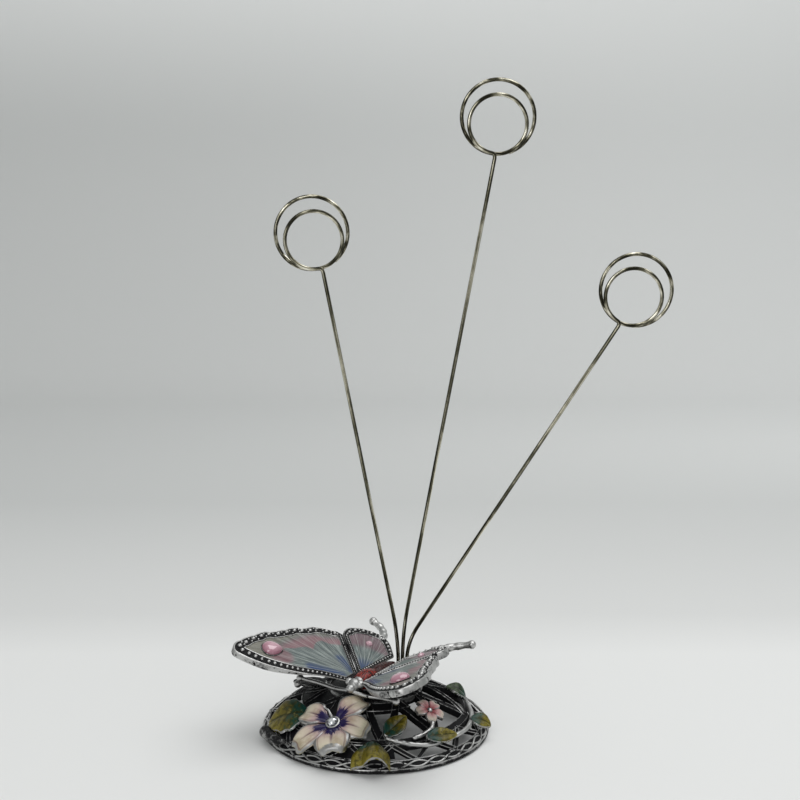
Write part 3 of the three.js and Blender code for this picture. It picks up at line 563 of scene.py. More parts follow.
def hoop(section, sides=144):
    """A ring turned about Z from a closed section: points of radius, height and rubbed brightness."""
    points = np.stack([ring(r, z, sides) for r, z, _ in section], axis=1).reshape(-1, 3)
    faces, _ = grid(sides + 1, len(section), closed=True)
    faces = [[i % len(points) for i in face] for face in faces]
    return shell(points, faces, bright=np.tile([b for _, _, b in section], sides))


def ball(centre, radius, **values):
    bends = np.linspace(-math.pi / 2, math.pi / 2, 13)[1:-1]
    form = lathe([(radius * math.cos(a), radius * math.sin(a)) for a in bends], 20, **values)
    form.points += np.asarray(centre, float)
    return form


def placed(form, matrix):
    form.points = moved(form.points, matrix)
    return form


def make_piece(name, node, forms, finishes, seat=Matrix.Identity(4), body="holder", sharp=35):
    """One mesh from closed skins on a seat, riding on a body; it stands for the solid of that node."""
    mesh = bpy.data.meshes.new(name)
    start, points, faces, finish_numbers, corners = 0, [], [], [], []
    for form in forms:
        points.append(moved(form.points, seat) * MM)
        faces += [[start + i for i in face] for face in form.faces]
        finish_numbers.append(np.broadcast_to(form.finish, len(form.faces)))
        for face, uv in zip(form.faces, form.corners or [None] * len(form.faces)):
            corners += uv or [(0, 0)] * len(face)
        start += len(form.points)
    mesh.from_pydata(np.vstack(points), [], faces)
    mesh.polygons.foreach_set("material_index", np.concatenate(finish_numbers).astype(np.int32))
    mesh.uv_layers.new(name="UVMap").data.foreach_set("uv", np.array(corners, np.float32).ravel())
    for key in sorted({k for form in forms for k in form.values}):
        parts = [np.broadcast_to(form.values.get(key, 0.0), len(form.points)) for form in forms]
        data = np.concatenate(parts).astype(np.float32)
        mesh.attributes.new(key, "FLOAT", "POINT").data.foreach_set("value", data)
    for finish in finishes:
        mesh.materials.append(finish.material)
    tidy(mesh, sharp)
    seated(linked(name, mesh), body, node)


def linked(name, data):
    """An object of the scene, at the origin."""
    piece = bpy.data.objects.new(name, data)
    bpy.context.scene.collection.objects.link(piece)
    return piece


def tidy(mesh, sharp):
    """Closes seams and poles, turns the faces out and shades them smooth but for sharp edges."""
    form = bmesh.new()
    form.from_mesh(mesh)
    bmesh.ops.remove_doubles(form, verts=form.verts, dist=WELD)
    bmesh.ops.dissolve_degenerate(form, edges=form.edges, dist=SLIVER)
    bmesh.ops.recalc_face_normals(form, faces=form.faces)
    form.to_mesh(mesh)
    form.free()
    mesh.polygons.foreach_set("use_smooth", [True] * len(mesh.polygons))
    mesh.set_sharp_from_angle(angle=math.radians(sharp))


def seated(piece, body="holder", node=None):
    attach(piece, body)
    if node:
        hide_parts(node)


# Finishes

class Nodes:
    """Short calls for a tree of nodes."""

    def __init__(self, tree):
        self.tree = tree

    def put(self, socket, value):
        if isinstance(value, bpy.types.NodeSocket):
            self.tree.links.new(value, socket)
        elif isinstance(value, tuple) and len(value) == 3 and len(socket.default_value) == 4:
            socket.default_value = (*value, 1)
        else:
            socket.default_value = value

    def add(self, kind, output=0, inputs=(), **settings):
        node = self.tree.nodes.new(kind)
        for name, value in settings.items():
            setattr(node, name, value)
        for key, value in dict(inputs).items():
            self.put(node.inputs[key], value)
        return node.outputs[output]

    def sum(self, operation, a, b=0.0, clamp=False):
        return self.add("ShaderNodeMath", 0, {0: a, 1: b}, operation=operation, use_clamp=clamp)

    def times(self, a, b, clamp=False):
        return self.sum("MULTIPLY", a, b, clamp)


class Finish(Nodes):
    """A material and its slot, which is its own name if none is given; short calls for its nodes."""

    # Where a mix of colours keeps its share, its two colours and its result
    MIX_INPUTS = (0, 6, 7)
    MIX_RESULT = 2

    def __init__(self, name, slot=None, **sockets):
        self.slot = slot or name
        self.material = bpy.data.materials.new(name)
        self.material.use_nodes = True
        super().__init__(self.material.node_tree)
        self.surface = self.tree.nodes["Principled BSDF"]
        self.set(**sockets)

    def set(self, **sockets):
        for name, value in sockets.items():
            self.put(self.surface.inputs[name.replace("_", " ")], value)

    def value(self, name):
        return self.add("ShaderNodeAttribute", "Fac", attribute_name=name)

    def place(self, scale=(1, 1, 1), kind="Object"):
        where = self.add("ShaderNodeTexCoord", kind)
        return self.add("ShaderNodeMapping", 0, {"Vector": where, "Scale": scale})

    def axis(self, name, kind="Object"):
        return self.add("ShaderNodeSeparateXYZ", name, {"Vector": self.place(kind=kind)})

    def along(self):
        """The share of a piece's length."""
        return self.axis("X", "UV")

    def noise(self, scale, detail=4, rough=0.6, where=None):
        inputs = {"Vector": where or self.place(), "Scale": scale, "Detail": detail, "Roughness": rough}
        return self.add("ShaderNodeTexNoise", "Fac", inputs)

    def streaks(self, lengthwise, across, scale, detail):
        """Noise drawn out along a piece."""
        return self.noise(scale, detail, where=self.place((lengthwise, across, 1), "UV"))

    def sway(self, value, by, amount):
        """A value shifted up and down by a noise."""
        return self.sum("ADD", value, self.times(self.sum("SUBTRACT", by, 0.5), amount))

    def range(self, value, low, high, start=0.0, end=1.0):
        inputs = {"Value": value, "From Min": low, "From Max": high, "To Min": start, "To Max": end}
        return self.add("ShaderNodeMapRange", 0, inputs, interpolation_type="SMOOTHSTEP")

    def mix(self, share, a, b):
        sockets = dict(zip(self.MIX_INPUTS, (share, a, b)))
        return self.add("ShaderNodeMix", self.MIX_RESULT, sockets, data_type="RGBA")

    def ramp(self, value, stops):
        node = self.tree.nodes.new("ShaderNodeValToRGB")
        band = node.color_ramp.elements
        while len(band) < len(stops):
            band.new(0.5)
        for element, (where, color) in zip(band, stops):
            element.position = where
            element.color = (*color, 1)
        self.put(node.inputs["Fac"], value)
        return node.outputs["Color"]

    def bump(self, height, strength, distance):
        return self.add("ShaderNodeBump", 0, {"Height": height, "Strength": strength, "Distance": distance})


PATINA = (0.008, 0.008, 0.009)
SILVER = (0.5, 0.5, 0.49)
MAUVE = {"fore": (0.17, 0.065, 0.08), "hind": (0.1, 0.045, 0.06)}
WORN_ROUGHNESS = 0.34
FINE_BUMP = 0.0002
GLAZE = dict(Specular_IOR_Level=0.25, Coat_Weight=0.12, Coat_Roughness=0.08)
POLISH = dict(Coat_Weight=1.0, Coat_Roughness=0.02)


def pewter_finish():
    """Antiqued pewter: black in the recesses, rubbed bright in patches where it stands proud, with pits."""
    f = Finish("antiqued_pewter", "pewter", Specular_IOR_Level=0.12)
    grain = f.noise(1100, 5, 0.65)
    pits = f.noise(430, 3, 0.7)
    patch = f.noise(170, 3)
    rub = f.times(f.value("bright"), f.range(patch, 0.3, 0.7, 0.62, 1.25))
    rub = f.sway(rub, grain, 0.6)
    worn = f.range(f.sum("SUBTRACT", rub, f.range(pits, 0.58, 0.7, 0.0, 0.55)), 0.3, 0.6)
    cloudy = f.mix(f.noise(260), (0.3, 0.3, 0.295), (0.7, 0.7, 0.69))
    f.set(Base_Color=f.mix(worn, PATINA, cloudy), Metallic=worn)
    f.set(Roughness=f.range(worn, 0, 1, 0.5, WORN_ROUGHNESS), Normal=f.bump(grain, 0.4, FINE_BUMP))
    return f


def wire_finish():
    """Drawn spring wire, a little warm, with bands of painted shade and painted highlight along and around
    it.
    """
    f = Finish("spring_wire", Metallic=1.0)
    lines = f.streaks(6, 70, 1, 4)
    # Bands along and around the wire: the dark ones are painted shade, the bright ones painted highlights
    streaks = f.sway(f.streaks(12, 3.2, 1, 2), f.noise(130), 0.25)
    colour = f.ramp(streaks, [
        (0.4, (0.022, 0.021, 0.014)), (0.5, (0.1, 0.095, 0.065)),
        (0.57, (0.42, 0.395, 0.3)), (0.66, (0.85, 0.82, 0.7)),
    ])
    rough = f.range(lines, 0.3, 0.7, 0.14, 0.3)
    f.set(Base_Color=colour, Roughness=rough, Normal=f.bump(lines, 0.12, 0.00006))
    return f


def edged(f, colour, rough, height):
    """An enamel colour with bright metal along the raised edges."""
    worn = f.range(f.sway(f.value("bright"), f.noise(1000), 0.7), 0.42, 0.62)
    metal = f.mix(f.noise(500, 3), (0.2, 0.2, 0.2), SILVER)
    f.set(Base_Color=f.mix(worn, colour, metal), Metallic=worn)
    f.set(Roughness=f.range(worn, 0, 1, rough, WORN_ROUGHNESS), Normal=f.bump(height, 0.3, FINE_BUMP))
    f.set(**GLAZE)
    return f


def wing_finish(part):
    """Pearly enamel: blue at the root, grey-green beyond, mauve towards the margin, with pale veins."""
    f = Finish(f"{part}wing_enamel", "wing_enamel", Roughness=0.34, **GLAZE)
    bearing, reach = f.value("bearing"), f.value("reach")
    spread = f.add("ShaderNodeCombineXYZ", 0, {"X": f.times(bearing, 0.55), "Y": f.times(reach, 0.1)})
    streak = f.noise(1.0, 6, 0.72, spread)
    pale = f.range(streak, 0.3, 0.7)
    cloud = f.noise(300)
    pearl = f.ramp(streak, [
        (0.35, (0.04, 0.055, 0.056)), (0.5, (0.13, 0.16, 0.158)), (0.64, (0.36, 0.4, 0.38)),
    ])
    colour = f.mix(f.value("olive"), pearl, f.mix(pale, (0.11, 0.108, 0.088), (0.27, 0.265, 0.23)))
    blue = f.times(f.value("blue"), f.range(streak, 0.34, 0.56), True)
    colour = f.mix(blue, colour, f.mix(cloud, (0.008, 0.026, 0.1), (0.03, 0.07, 0.18)))
    rosy = f.mix(pale, MAUVE[part], tuple(0.17 + 0.85 * c for c in MAUVE[part]))
    rosy_share = f.times(f.value("mauve"), f.range(cloud, 0.2, 0.5, 0.7, 1.0), True)
    colour = f.mix(rosy_share, colour, rosy)
    waver = f.noise(60, 2)
    crossing = f.sum("PINGPONG", f.sway(f.sum("DIVIDE", bearing, VEIN_STEP[part]), waver, 0.9), 0.5)
    apart = f.times(f.times(crossing, reach), math.radians(VEIN_STEP[part]))
    vein = f.times(f.range(apart, 0.04, 0.16, 0.4, 0.0), f.range(reach, 3.0, 6.0))
    f.set(Base_Color=f.mix(vein, colour, (0.5, 0.52, 0.49)), Normal=f.bump(streak, 0.25, FINE_BUMP))
    return f


def petal_finish():
    """Champagne enamel, deep violet in the throat, with rose rays and bright edges."""
    f = Finish("petal_enamel")
    rays = f.streaks(1, 15, 2.2, 4)
    cloud = f.noise(190)
    cream = f.ramp(f.sway(f.along(), rays, 0.3), [
        (0.38, (0.42, 0.31, 0.3)), (0.5, (0.54, 0.45, 0.37)),
        (0.75, (0.6, 0.54, 0.42)), (0.95, (0.36, 0.35, 0.24)),
    ])
    cream = f.mix(f.range(cloud, 0.45, 0.68, 0.0, 0.6), cream, (0.3, 0.22, 0.14))
    cream = f.mix(f.times(f.value("vein"), 0.8), cream, (0.1, 0.045, 0.07))
    violet = f.mix(cloud, (0.003, 0.001, 0.022), (0.014, 0.005, 0.08))
    spikes = f.streaks(0.7, 9, 1.6, 2)
    throat = f.range(f.sway(f.value("star"), spikes, 0.5), 0.38, 0.46, 1.0, 0.0)
    return edged(f, f.mix(throat, cream, violet), 0.26, rays)


def blossom_finish():
    """Pale pink enamel, deeper in the throat."""
    f = Finish("blossom_enamel", "pink_enamel")
    rays = f.streaks(1.5, 14, 2, 3)
    colour = f.ramp(f.sway(f.along(), rays, 0.4), [
        (0.22, (0.34, 0.1, 0.11)), (0.45, (0.5, 0.27, 0.27)), (0.85, (0.52, 0.45, 0.38)),
    ])
    return edged(f, colour, 0.3, rays)


def leaf_finish(name, tip):
    """Mottled enamel, teal at the base and the tip's own colour beyond, with dark veins and bright edges."""
    f = Finish(name, "leaf_enamel")
    deep, shade, light = (tuple(k * c for c in tip) for k in (0.25, 0.5, 1.25))
    pale = tuple(0.06 + 1.6 * c for c in tip)
    cloud = f.noise(420, 5, 0.75)
    colour = f.ramp(f.sway(f.along(), cloud, 1.0), [
        (0.12, (0.008, 0.045, 0.036)), (0.32, (0.02, 0.06, 0.035)), (0.44, shade), (0.66, tip), (0.95, light),
    ])
    colour = f.mix(f.times(f.value("vein"), 0.85), colour, (0.012, 0.018, 0.006))
    colour = f.mix(f.range(cloud, 0.57, 0.7, 0.0, 0.6), colour, pale)
    colour = f.mix(f.range(f.noise(750, 3), 0.5, 0.62, 0.0, 0.75), colour, deep)
    return edged(f, colour, 0.3, cloud)


def body_finish():
    """Red enamel with dark hairs and grooves, deeper towards the tail."""
    f = Finish("body_enamel")
    hairs = f.streaks(16, 34, 1.4, 4)
    red = f.mix(f.range(f.along(), 0.45, 0.56), (0.06, 0.008, 0.008), (0.3, 0.02, 0.01))
    colour = f.mix(f.range(hairs, 0.42, 0.56), red, (0.018, 0.002, 0.002))
    colour = f.mix(f.value("groove"), colour, (0.01, 0.004, 0.004))
    return edged(f, colour, 0.26, hairs)


def pink_stone_finish():
    """Polished pink glass, deeper towards its edge."""
    f = Finish("pink_stone", Roughness=0.05, Specular_IOR_Level=0.7, Coat_IOR=1.8, **POLISH)
    pale = f.mix(f.noise(240, 3), (0.52, 0.27, 0.34), (0.68, 0.44, 0.5))
    f.set(Base_Color=f.mix(f.value("depth"), pale, (0.36, 0.13, 0.19)))
    return f


def clear_stone_finish():
    """Foil-backed glass over a silvered back, with patches of painted glint and dark painted reflection."""
    f = Finish("clear_stone", Metallic=0.85, Roughness=0.04, **POLISH)
    # Painted glints and dark painted reflections in patches across the stone
    colour = f.ramp(f.noise(900, 2), [
        (0.35, (0.12, 0.13, 0.12)), (0.5, (0.7, 0.72, 0.74)), (0.65, (0.95, 0.96, 0.98)),
    ])
    f.set(Base_Color=colour)
    return f


PEWTER = pewter_finish()
WIRE = wire_finish()
WING_ENAMEL = {part: wing_finish(part) for part in VEIN_ROOT}
PETAL = petal_finish()
BLOSSOM = blossom_finish()
LEAF = leaf_finish("leaf_enamel", (0.18, 0.148, 0.018))
GREEN_LEAF = leaf_finish("green_leaf_enamel", (0.06, 0.09, 0.04))
BODY = body_finish()
PINK_STONE = pink_stone_finish()
CLEAR_STONE = clear_stone_finish()


# Wires

def bezier(a, b, c, steps):
    t = np.linspace(0, 1, steps)[:, None]
    return (1 - t) ** 2 * a + 2 * t * (1 - t) * b + t**2 * c


def clip_frame(stem):
    """Where the stem bends and where its clip starts, and the clip's own up and right."""
    x = SOCKET_PLACE[0] + stem.slot * WIRE_SPACING
    corner = np.array([x, SOCKET_PLACE[1], SOCKET_SEAT + stem.bend])
    joint = np.array([stem.reach, SOCKET_PLACE[1], stem.height])
    along = (joint - corner) / np.linalg.norm(joint - corner)
    up = moved([along], rotation(-RING_LEAN, "Y"))[0]
    return corner, joint, along, up, np.array([up[2], 0, -up[0]])


def turn_points(stem, radius, degrees):
    _, joint, _, up, right = clip_frame(stem)
    turn = np.radians(degrees)
    points = joint + np.outer(radius * (1 - np.cos(turn)), up) - np.outer(radius * np.sin(turn), right)
    points[:, 1] += TURN_PITCH * np.asarray(degrees) / 360
    return points


def wires():
    first = math.degrees(CORNER_BEND / FRONT_TURN_RADIUS)
    for name, stem in STEMS.items():
        corner, joint, along, _, _ = clip_frame(stem)
        foot = np.array([corner[0], corner[1], SOCKET_SEAT + GAP + SOCKET_FLOOR + GAP])
        bend_start = corner - np.array([0, 0, stem.leg])
        bend_end = corner + stem.leg * along
        elbow_start = joint - CORNER_BEND * along
        front = turn_points(stem, FRONT_TURN_RADIUS, np.linspace(first, 360, TURN_STEPS))
        back = turn_points(stem, BACK_TURN_RADIUS, np.linspace(360, 360 + BACK_TURN_SWEEP, TURN_STEPS))
        route = np.vstack([
            np.linspace(foot, bend_start, 4)[:-1],
            bezier(bend_start, corner, bend_end, 24),
            np.linspace(bend_end, elbow_start, 40)[1:-1],
            bezier(elbow_start, joint, front[0], 14),
            front[1:],
        ])
        wire(f"{name}_stem_wire", f"{name}_stem_and_front_turn", route, "holder")
        wire(f"{name}_clip_wire", f"{name}_back_turn", back, f"{name}_clip")


def wire(name, node, route, body):
    make_piece(name, node, [tube(route, WIRE_RADIUS, WIRE_SIDES, round_ends=False)], [WIRE], body=body)


# Base

def edge_at(rows, side, way, height=0.0):
    """The rows of an edge's section, set at a side and a height; the way says where its inside lies."""
    return [(side + way * inward, height + up, bright) for inward, up, bright in rows]


def strap(start, end, steps, width, wall=DOME_WALL, shine=1.0):
    """A cast strap between two azimuths and radii of the dome: thin raised edges and a black channel."""
    half = width / 2
    edge = [(0, -wall, 0)] + STRAP_EDGE
    section = edge_at(edge, -half, 1) + edge_at(edge, half, -1)[::-1]
    line = [on_dome(azimuth, radius) for azimuth, radius in np.linspace(start, end, steps)]
    tangents = np.gradient(np.array([point for point, _ in line]), axis=0)
    rings = []
    for (point, normal), tangent in zip(line, tangents):
        across = np.cross(tangent, normal)
        across /= np.linalg.norm(across)
        rings.append([point + a * across + up * normal for a, up, _ in section])
    return loops(rings, bright=np.tile([shine * b for _, _, b in section], len(rings)))


def base_casting():
    forms = []
    sector = 360 / RIB_COUNT
    for here in FIRST_RIB + sector * np.arange(RIB_COUNT):
        for head in (here, here + sector):
            ends = (head, RIB_HEAD), (here + RIB_SWIRL, RIB_FOOT)
            forms.append(strap(*ends, RIB_STEPS, RIB_WIDTH))
    span = 360 / STRUT_PAIRS
    for here in FIRST_STRUT + span * np.arange(STRUT_PAIRS):
        for head in (here - span / 2, here + span / 2):
            ends = (here, STRUT_FOOT), (head, STRUT_HEAD)
            forms.append(strap(*ends, STRUT_STEPS, STRUT_WIDTH, THIN_WALL, STRUT_SHINE))
    # Black fields: patinated ground, and painted shade where the openwork would show shadowed floor
    for start, end, width in PATINA_AND_SHADE_FIELDS:
        forms.append(strap(start, end, PATINA_AND_SHADE_FIELD_STEPS, width, THIN_WALL))
    shoulder_leaf = placed(leaf_form(**SHOULDER_LEAF), dome_seat(*SHOULDER_LEAF_SEAT))
    shoulder_leaf.finish = 0
    forms += [shoulder_leaf, ring_strap(), rim(), crown_plate(), stud_post(), socket_collar()]
    make_piece("openwork_base", "base_casting", forms, [PEWTER])


def ring_strap():
    near, far = RING_RADIUS - RING_WIDTH / 2, RING_RADIUS + RING_WIDTH / 2
    edge = [(0, -DOME_WALL, 0)] + RING_EDGE
    section = edge_at(edge, far, -1) + edge_at(edge, near, 1)[::-1]
    return hoop([(r, dome_height(r) + up, b) for r, up, b in section])


def rim():
    """The foot ring: a black outer side with a worn edge, and a black seat for the braid."""
    top = dome_height(FOOT_INNER_RADIUS)
    outer_side = edge_at(RIM_OUTER_SIDE, BASE_RADIUS, -1)
    inner_edge = edge_at(RIM_INNER_EDGE, FOOT_INNER_RADIUS, 1, top)
    return hoop([(FOOT_INNER_RADIUS, 0, 0)] + outer_side + inner_edge)


def crown_plate():
    radii = np.linspace(0.05, CROWN_PLATE_RADIUS, 10)
    shine = [PLATE_EDGE_SHINE] + [PLATE_SHINE] * (len(radii) - 1)
    under = [(r, dome_height(r, DOME_WALL), 0) for r in radii]
    over = [(r, dome_height(r), b) for r, b in zip(radii[::-1], shine)]
    return worn_lathe(under + over, 72)


def stud_post():
    top = BUTTERFLY_PLACE[2] + BODY_LIFT - THORAX_RADIUS - GAP
    section = [
        (POST_RADIUS, POST_FOOT, 0), (POST_RADIUS, top - POST_EDGE, 0.2), (POST_RADIUS - POST_EDGE, top, 0.8),
        (POST_BORE, top, 0.4),
    ]
    return placed(worn_lathe(section, 32), Matrix.Translation((*BUTTERFLY_PLACE[:2], 0)))


def oval(radius, height):
    """A ring round the three wires that stand in a row."""
    half = np.linspace(-90, 90, 13)
    ends = np.radians(np.concatenate([half, half + 180]))
    shift = np.repeat([WIRE_SPACING, -WIRE_SPACING], len(half))
    return np.column_stack([shift + radius * np.cos(ends), radius * np.sin(ends), np.full(len(ends), height)])


def oval_shell(section):
    """A skin round the wires from points of radius, height and rubbed brightness."""
    form = loops([oval(r, z) for r, z, _ in section], bright=[b for _, _, b in section])
    return placed(form, Matrix.Translation((*SOCKET_PLACE, 0)))


def socket_collar():
    bore = SOCKET_BORE + SOCKET_WALL + GAP
    wide = bore + COLLAR_WALL
    top = SOCKET_SEAT + COLLAR_HEIGHT
    return oval_shell([
        (wide, SOCKET_SEAT - COLLAR_DEPTH, 0), (wide, top - COLLAR_EDGE, 0.5), (wide - COLLAR_EDGE, top, 0.8),
        (bore, top, 0.6), (bore, SOCKET_SEAT, 0),
    ])


def wire_socket():
    bottom = SOCKET_SEAT + GAP
    top = bottom + SOCKET_HEIGHT
    wide = SOCKET_BORE + SOCKET_WALL
    section = edge_at(SOCKET_FOOT, wide, -1, bottom) + edge_at(SOCKET_HEAD, wide, -1, top)
    section += edge_at(SOCKET_MOUTH, SOCKET_BORE, 1, top)
    section.append((SOCKET_BORE, bottom + SOCKET_FLOOR, 0))
    make_piece("wire_ferrule", "wire_socket", [oval_shell(section)], [PEWTER])


# Wings

def stretch(label, line, start, end, slopes=(0, 0)):
    """A labelled stretch of an outline, with the width of the border along it and how far it slopes down."""
    line = spaced(line, OUTLINE_SPACING)
    share = np.linspace(0, 1, len(line))
    widths = start + (end - start) * share**WIDTH_EASE
    return label, line, widths, BORDER_SLOPE * np.interp(share, [0, 1], slopes)


def cast(points, side):
    """Points of a wing as it came out of the mould: the right one's margin lies a little further in."""
    if side > 0:
        share = np.interp(points[:, 0], MARGIN_PLACES, MARGIN_SHARES)
        points[:, 1] *= 1 - (1 - share) * smooth(points[:, 1] / MARGIN_FADE)
    return points


def wing_outlines(side):
    """Fore and hind outlines of a wing as stretches; each runs anticlockwise on the right wing."""
    def curve(points):
        return cast(spline(points, OUTLINE_STEPS), side)

    lead = curve([WING_ROOT] + LEADING_EDGE + WING_TIP + OUTER_MARGIN + [FORE_CORNER])
    tip_at = OUTLINE_STEPS * (len(LEADING_EDGE) + 2)
    margin = scalloped(spaced(lead[tip_at:], OUTLINE_SPACING))
    hind = curve([NOTCH] + HIND_CORNER + TAIL_ROOT)
    inner = curve([TAIL_ROOT[-1]] + INNER_MARGIN + [INNER_CORNER])
    corner, notch = lead[-1], hind[0]
    return {
        "fore": [
            stretch("edge", lead[: tip_at + 1], ROOT_WIDTH, TIP_WIDTH, (1, 1)),
            stretch("margin", margin, TIP_WIDTH, BORDER_WIDTH, (1, 0)),
            stretch("split", [corner, notch], BORDER_WIDTH, SEAM_WIDTH),
            stretch("split", [notch, CELL_SPLIT], SEAM_WIDTH, ROOT_WIDTH),
            stretch("body", [CELL_SPLIT, WING_ROOT], ROOT_WIDTH, ROOT_WIDTH, (0, 1)),
        ],
        "hind": [
            stretch("split", hind[: OUTLINE_STEPS + 1], SEAM_WIDTH, BORDER_WIDTH),
            stretch("margin", hind[OUTLINE_STEPS:], BORDER_WIDTH, BORDER_WIDTH),
            stretch("inner", inner, BORDER_WIDTH, SEAM_WIDTH),
            stretch("inner", [INNER_CORNER, CELL_SPLIT], SEAM_WIDTH, ROOT_WIDTH),
            stretch("split", [CELL_SPLIT, notch], ROOT_WIDTH, SEAM_WIDTH),
        ],
    }


def scalloped(line):
    """The outer margin drawn in between its scallops."""
    run = np.gradient(line, axis=0)
    run /= np.linalg.norm(run, axis=1)[:, None]
    inward = np.column_stack([-run[:, 1], run[:, 0]])
    share = np.linspace(0, 1, len(line))
    dip = SCALLOP_DEPTH * (1 - np.abs(np.sin(math.pi * SCALLOP_COUNT * share))) ** 2
    dip *= smooth(share * SCALLOP_FADE) * smooth((1 - share) * SCALLOP_FADE)
    return line + inward * dip[:, None]


def joined(stretches):
    """The stretches as one closed outline, with each point's label, border width and slope."""
    labels = np.concatenate([[label] * (len(line) - 1) for label, line, _, _ in stretches])
    points, widths, slopes = (
        np.concatenate([values[:-1] for values in column]) for column in list(zip(*stretches))[1:]
    )
    return drawn_in(points, OUTLINE_INSET), labels, widths, slopes


def flat(points, side, height):
    return np.column_stack([points[:, 0], side * points[:, 1], np.broadcast_to(height, len(points))])


def wing_casting(name, side):
    forms = []
    for stretches in wing_outlines(side).values():
        outline, labels, widths, slopes = joined(stretches)
        thinned = ROOT_THINNING * (1 - smooth((outline[:, 1] - THINNING_FROM) / THINNING_OVER))
        seam = np.where(labels == "split", SEAM_SHINE, 1)
        rings, bright = [], []
        for share, height, rubbed in BORDER_SECTION:
            drop = slopes * (1 - share) if height > 0 else -thinned
            outer_edge = height > 0 and share < OUTER_EDGE_SHARE
            rings.append(flat(drawn_in(outline, share * widths), side, height - drop))
            bright.append(rubbed * (seam if outer_edge else np.ones(len(seam))))
        forms.append(loops(rings, bright=np.concatenate(bright)))
    forms += wing_tail(side)
    make_piece(f"{name}_wing_casting", f"{name}_wing", forms, [PEWTER], wing_seat(side), sharp=50)


def wing_tail(side):
    """A knotted arm with a knob at its end."""
    places = TAIL_ROUTE + [TAIL_END[side]]
    route = spline([(x, side * y, z) for (x, y), z in zip(places, TAIL_HEIGHTS[side])], 16)
    along = np.linspace(0, 1, len(route))
    thick = TAIL_RADIUS - TAIL_TAPER * along + TAIL_KNOT_DEPTH * np.sin(TURN * TAIL_KNOTS * along)
    return [tube(route, thick, 16, bright=TAIL_SHINE), ball(route[-1], TAIL_KNOB_RADIUS, bright=TAIL_SHINE)]


def fan(part, points):
    """Bearing in degrees and distance from the root of the wing's veins."""
    arm = points - np.array(VEIN_ROOT[part])
    bearing = np.degrees(np.arctan2(arm[:, 1], arm[:, 0])) % 360
    return bearing, np.linalg.norm(arm, axis=1)


def beside(points, start, end):
    """How far points lie from a line between two places."""
    start, end = np.array(start, float), np.array(end, float)
    run = end - start
    share = np.clip((points - start) @ run / run.dot(run), 0, 1)
    return np.linalg.norm(points - start - share[:, None] * run, axis=1)


def wing_tints(part, points):
    """The shares of mauve, olive and blue at places of a wing."""
    bearing, reach = fan(part, points)
    if part == "hind":
        mauve = smooth((reach - HIND_ROSY_FROM) / HIND_ROSY_FADE)
        blue = smooth((HIND_BLUE_TO - reach) / HIND_BLUE_FADE)
        return {"mauve": mauve, "olive": np.zeros(len(points)), "blue": blue}
    inner = np.interp(bearing, ZIGZAG_BEARINGS, ZIGZAG_INNER)
    outer = np.interp(bearing, ZIGZAG_BEARINGS, ZIGZAG_OUTER)
    band = smooth((reach - inner) / ZIGZAG_INNER_FADE) * smooth((outer - reach) / ZIGZAG_OUTER_FADE)
    from_spot = np.linalg.norm(points - np.array(ROSY_SPOT), axis=1)
    spot = ROSY_SPOT_SHARE * smooth((ROSY_SPOT_RADIUS - from_spot) / SPOT_FADE)
    streaks = [smooth((BLUE_STREAK_RADIUS - beside(points, *ends)) / SPOT_FADE) for ends in BLUE_STREAKS]
    olive = smooth((reach - outer + OLIVE_LEAD) / ZIGZAG_OUTER_FADE)
    return {"mauve": np.maximum(band, spot), "olive": olive, "blue": np.max(streaks, axis=0)}


def wing_enamel(name, side, part):
    outline, _, widths, _ = joined(wing_outlines(side)[part])
    edge = drawn_in(outline, widths + ENAMEL_CLEARANCE)
    middle = np.array(CELL_MIDDLE[part])
    rings, values = [], []
    for share in np.linspace(0.02, 1, ENAMEL_RINGS):
        points = middle + share * (edge - middle)
        bearing, reach = fan(part, points)
        flute = FLUTE_DEPTH * np.abs(np.cos(math.pi * bearing / VEIN_STEP[part])) * smooth(reach / FLUTE_FADE)
        rings.append(flat(points, side, ENAMEL_EDGE + (ENAMEL_SWELL + flute) * (1 - share**6)))
        values.append({"bearing": bearing, "reach": reach, **wing_tints(part, points)})
    rings.append(flat(edge, side, ENAMEL_FOOT))
    values.append(values[-1])
    form = loops(rings, **{key: np.concatenate([row[key] for row in values]) for key in values[0]})
    wing = f"{name}_{part}wing"
    make_piece(f"{wing}_glaze", f"{wing}_enamel", [form], [WING_ENAMEL[part]], wing_seat(side))


def border_beads(side):
    """Places, heights and sizes of a wing's border beads: single, or in turn one large and two small."""
    beads = []
    for stretches in wing_outlines(side).values():
        outline, labels, widths, slopes = joined(stretches)
        lines = {share: drawn_in(outline, share * widths) for share in (*PAIR_SHARES, BAND_MIDDLE)}
        middle = lines[BAND_MIDDLE]
        steps = np.linalg.norm(np.roll(middle, -1, axis=0) - middle, axis=1)
        ready, count = 0.0, 0
        for k, (label, width) in enumerate(zip(labels, widths)):
            ready -= steps[k]
            if label == "body" or ready > 0:
                continue
            large = BEAD_SHARES[label] * width
            pair = label == "margin" and count % 2
            size = PAIR_SIZE * large if pair else large
            for share in PAIR_SHARES if pair else (BAND_MIDDLE,):
                height = BAND_FLOOR - slopes[k] * (1 - share) + BEAD_STAND * size
                beads.append((*lines[share][k], height, size))
            ready = MARGIN_STEP * (size + large) if label == "margin" else BEAD_STEP * size
            count += 1
    return np.array(beads)


# Trees of what repeats

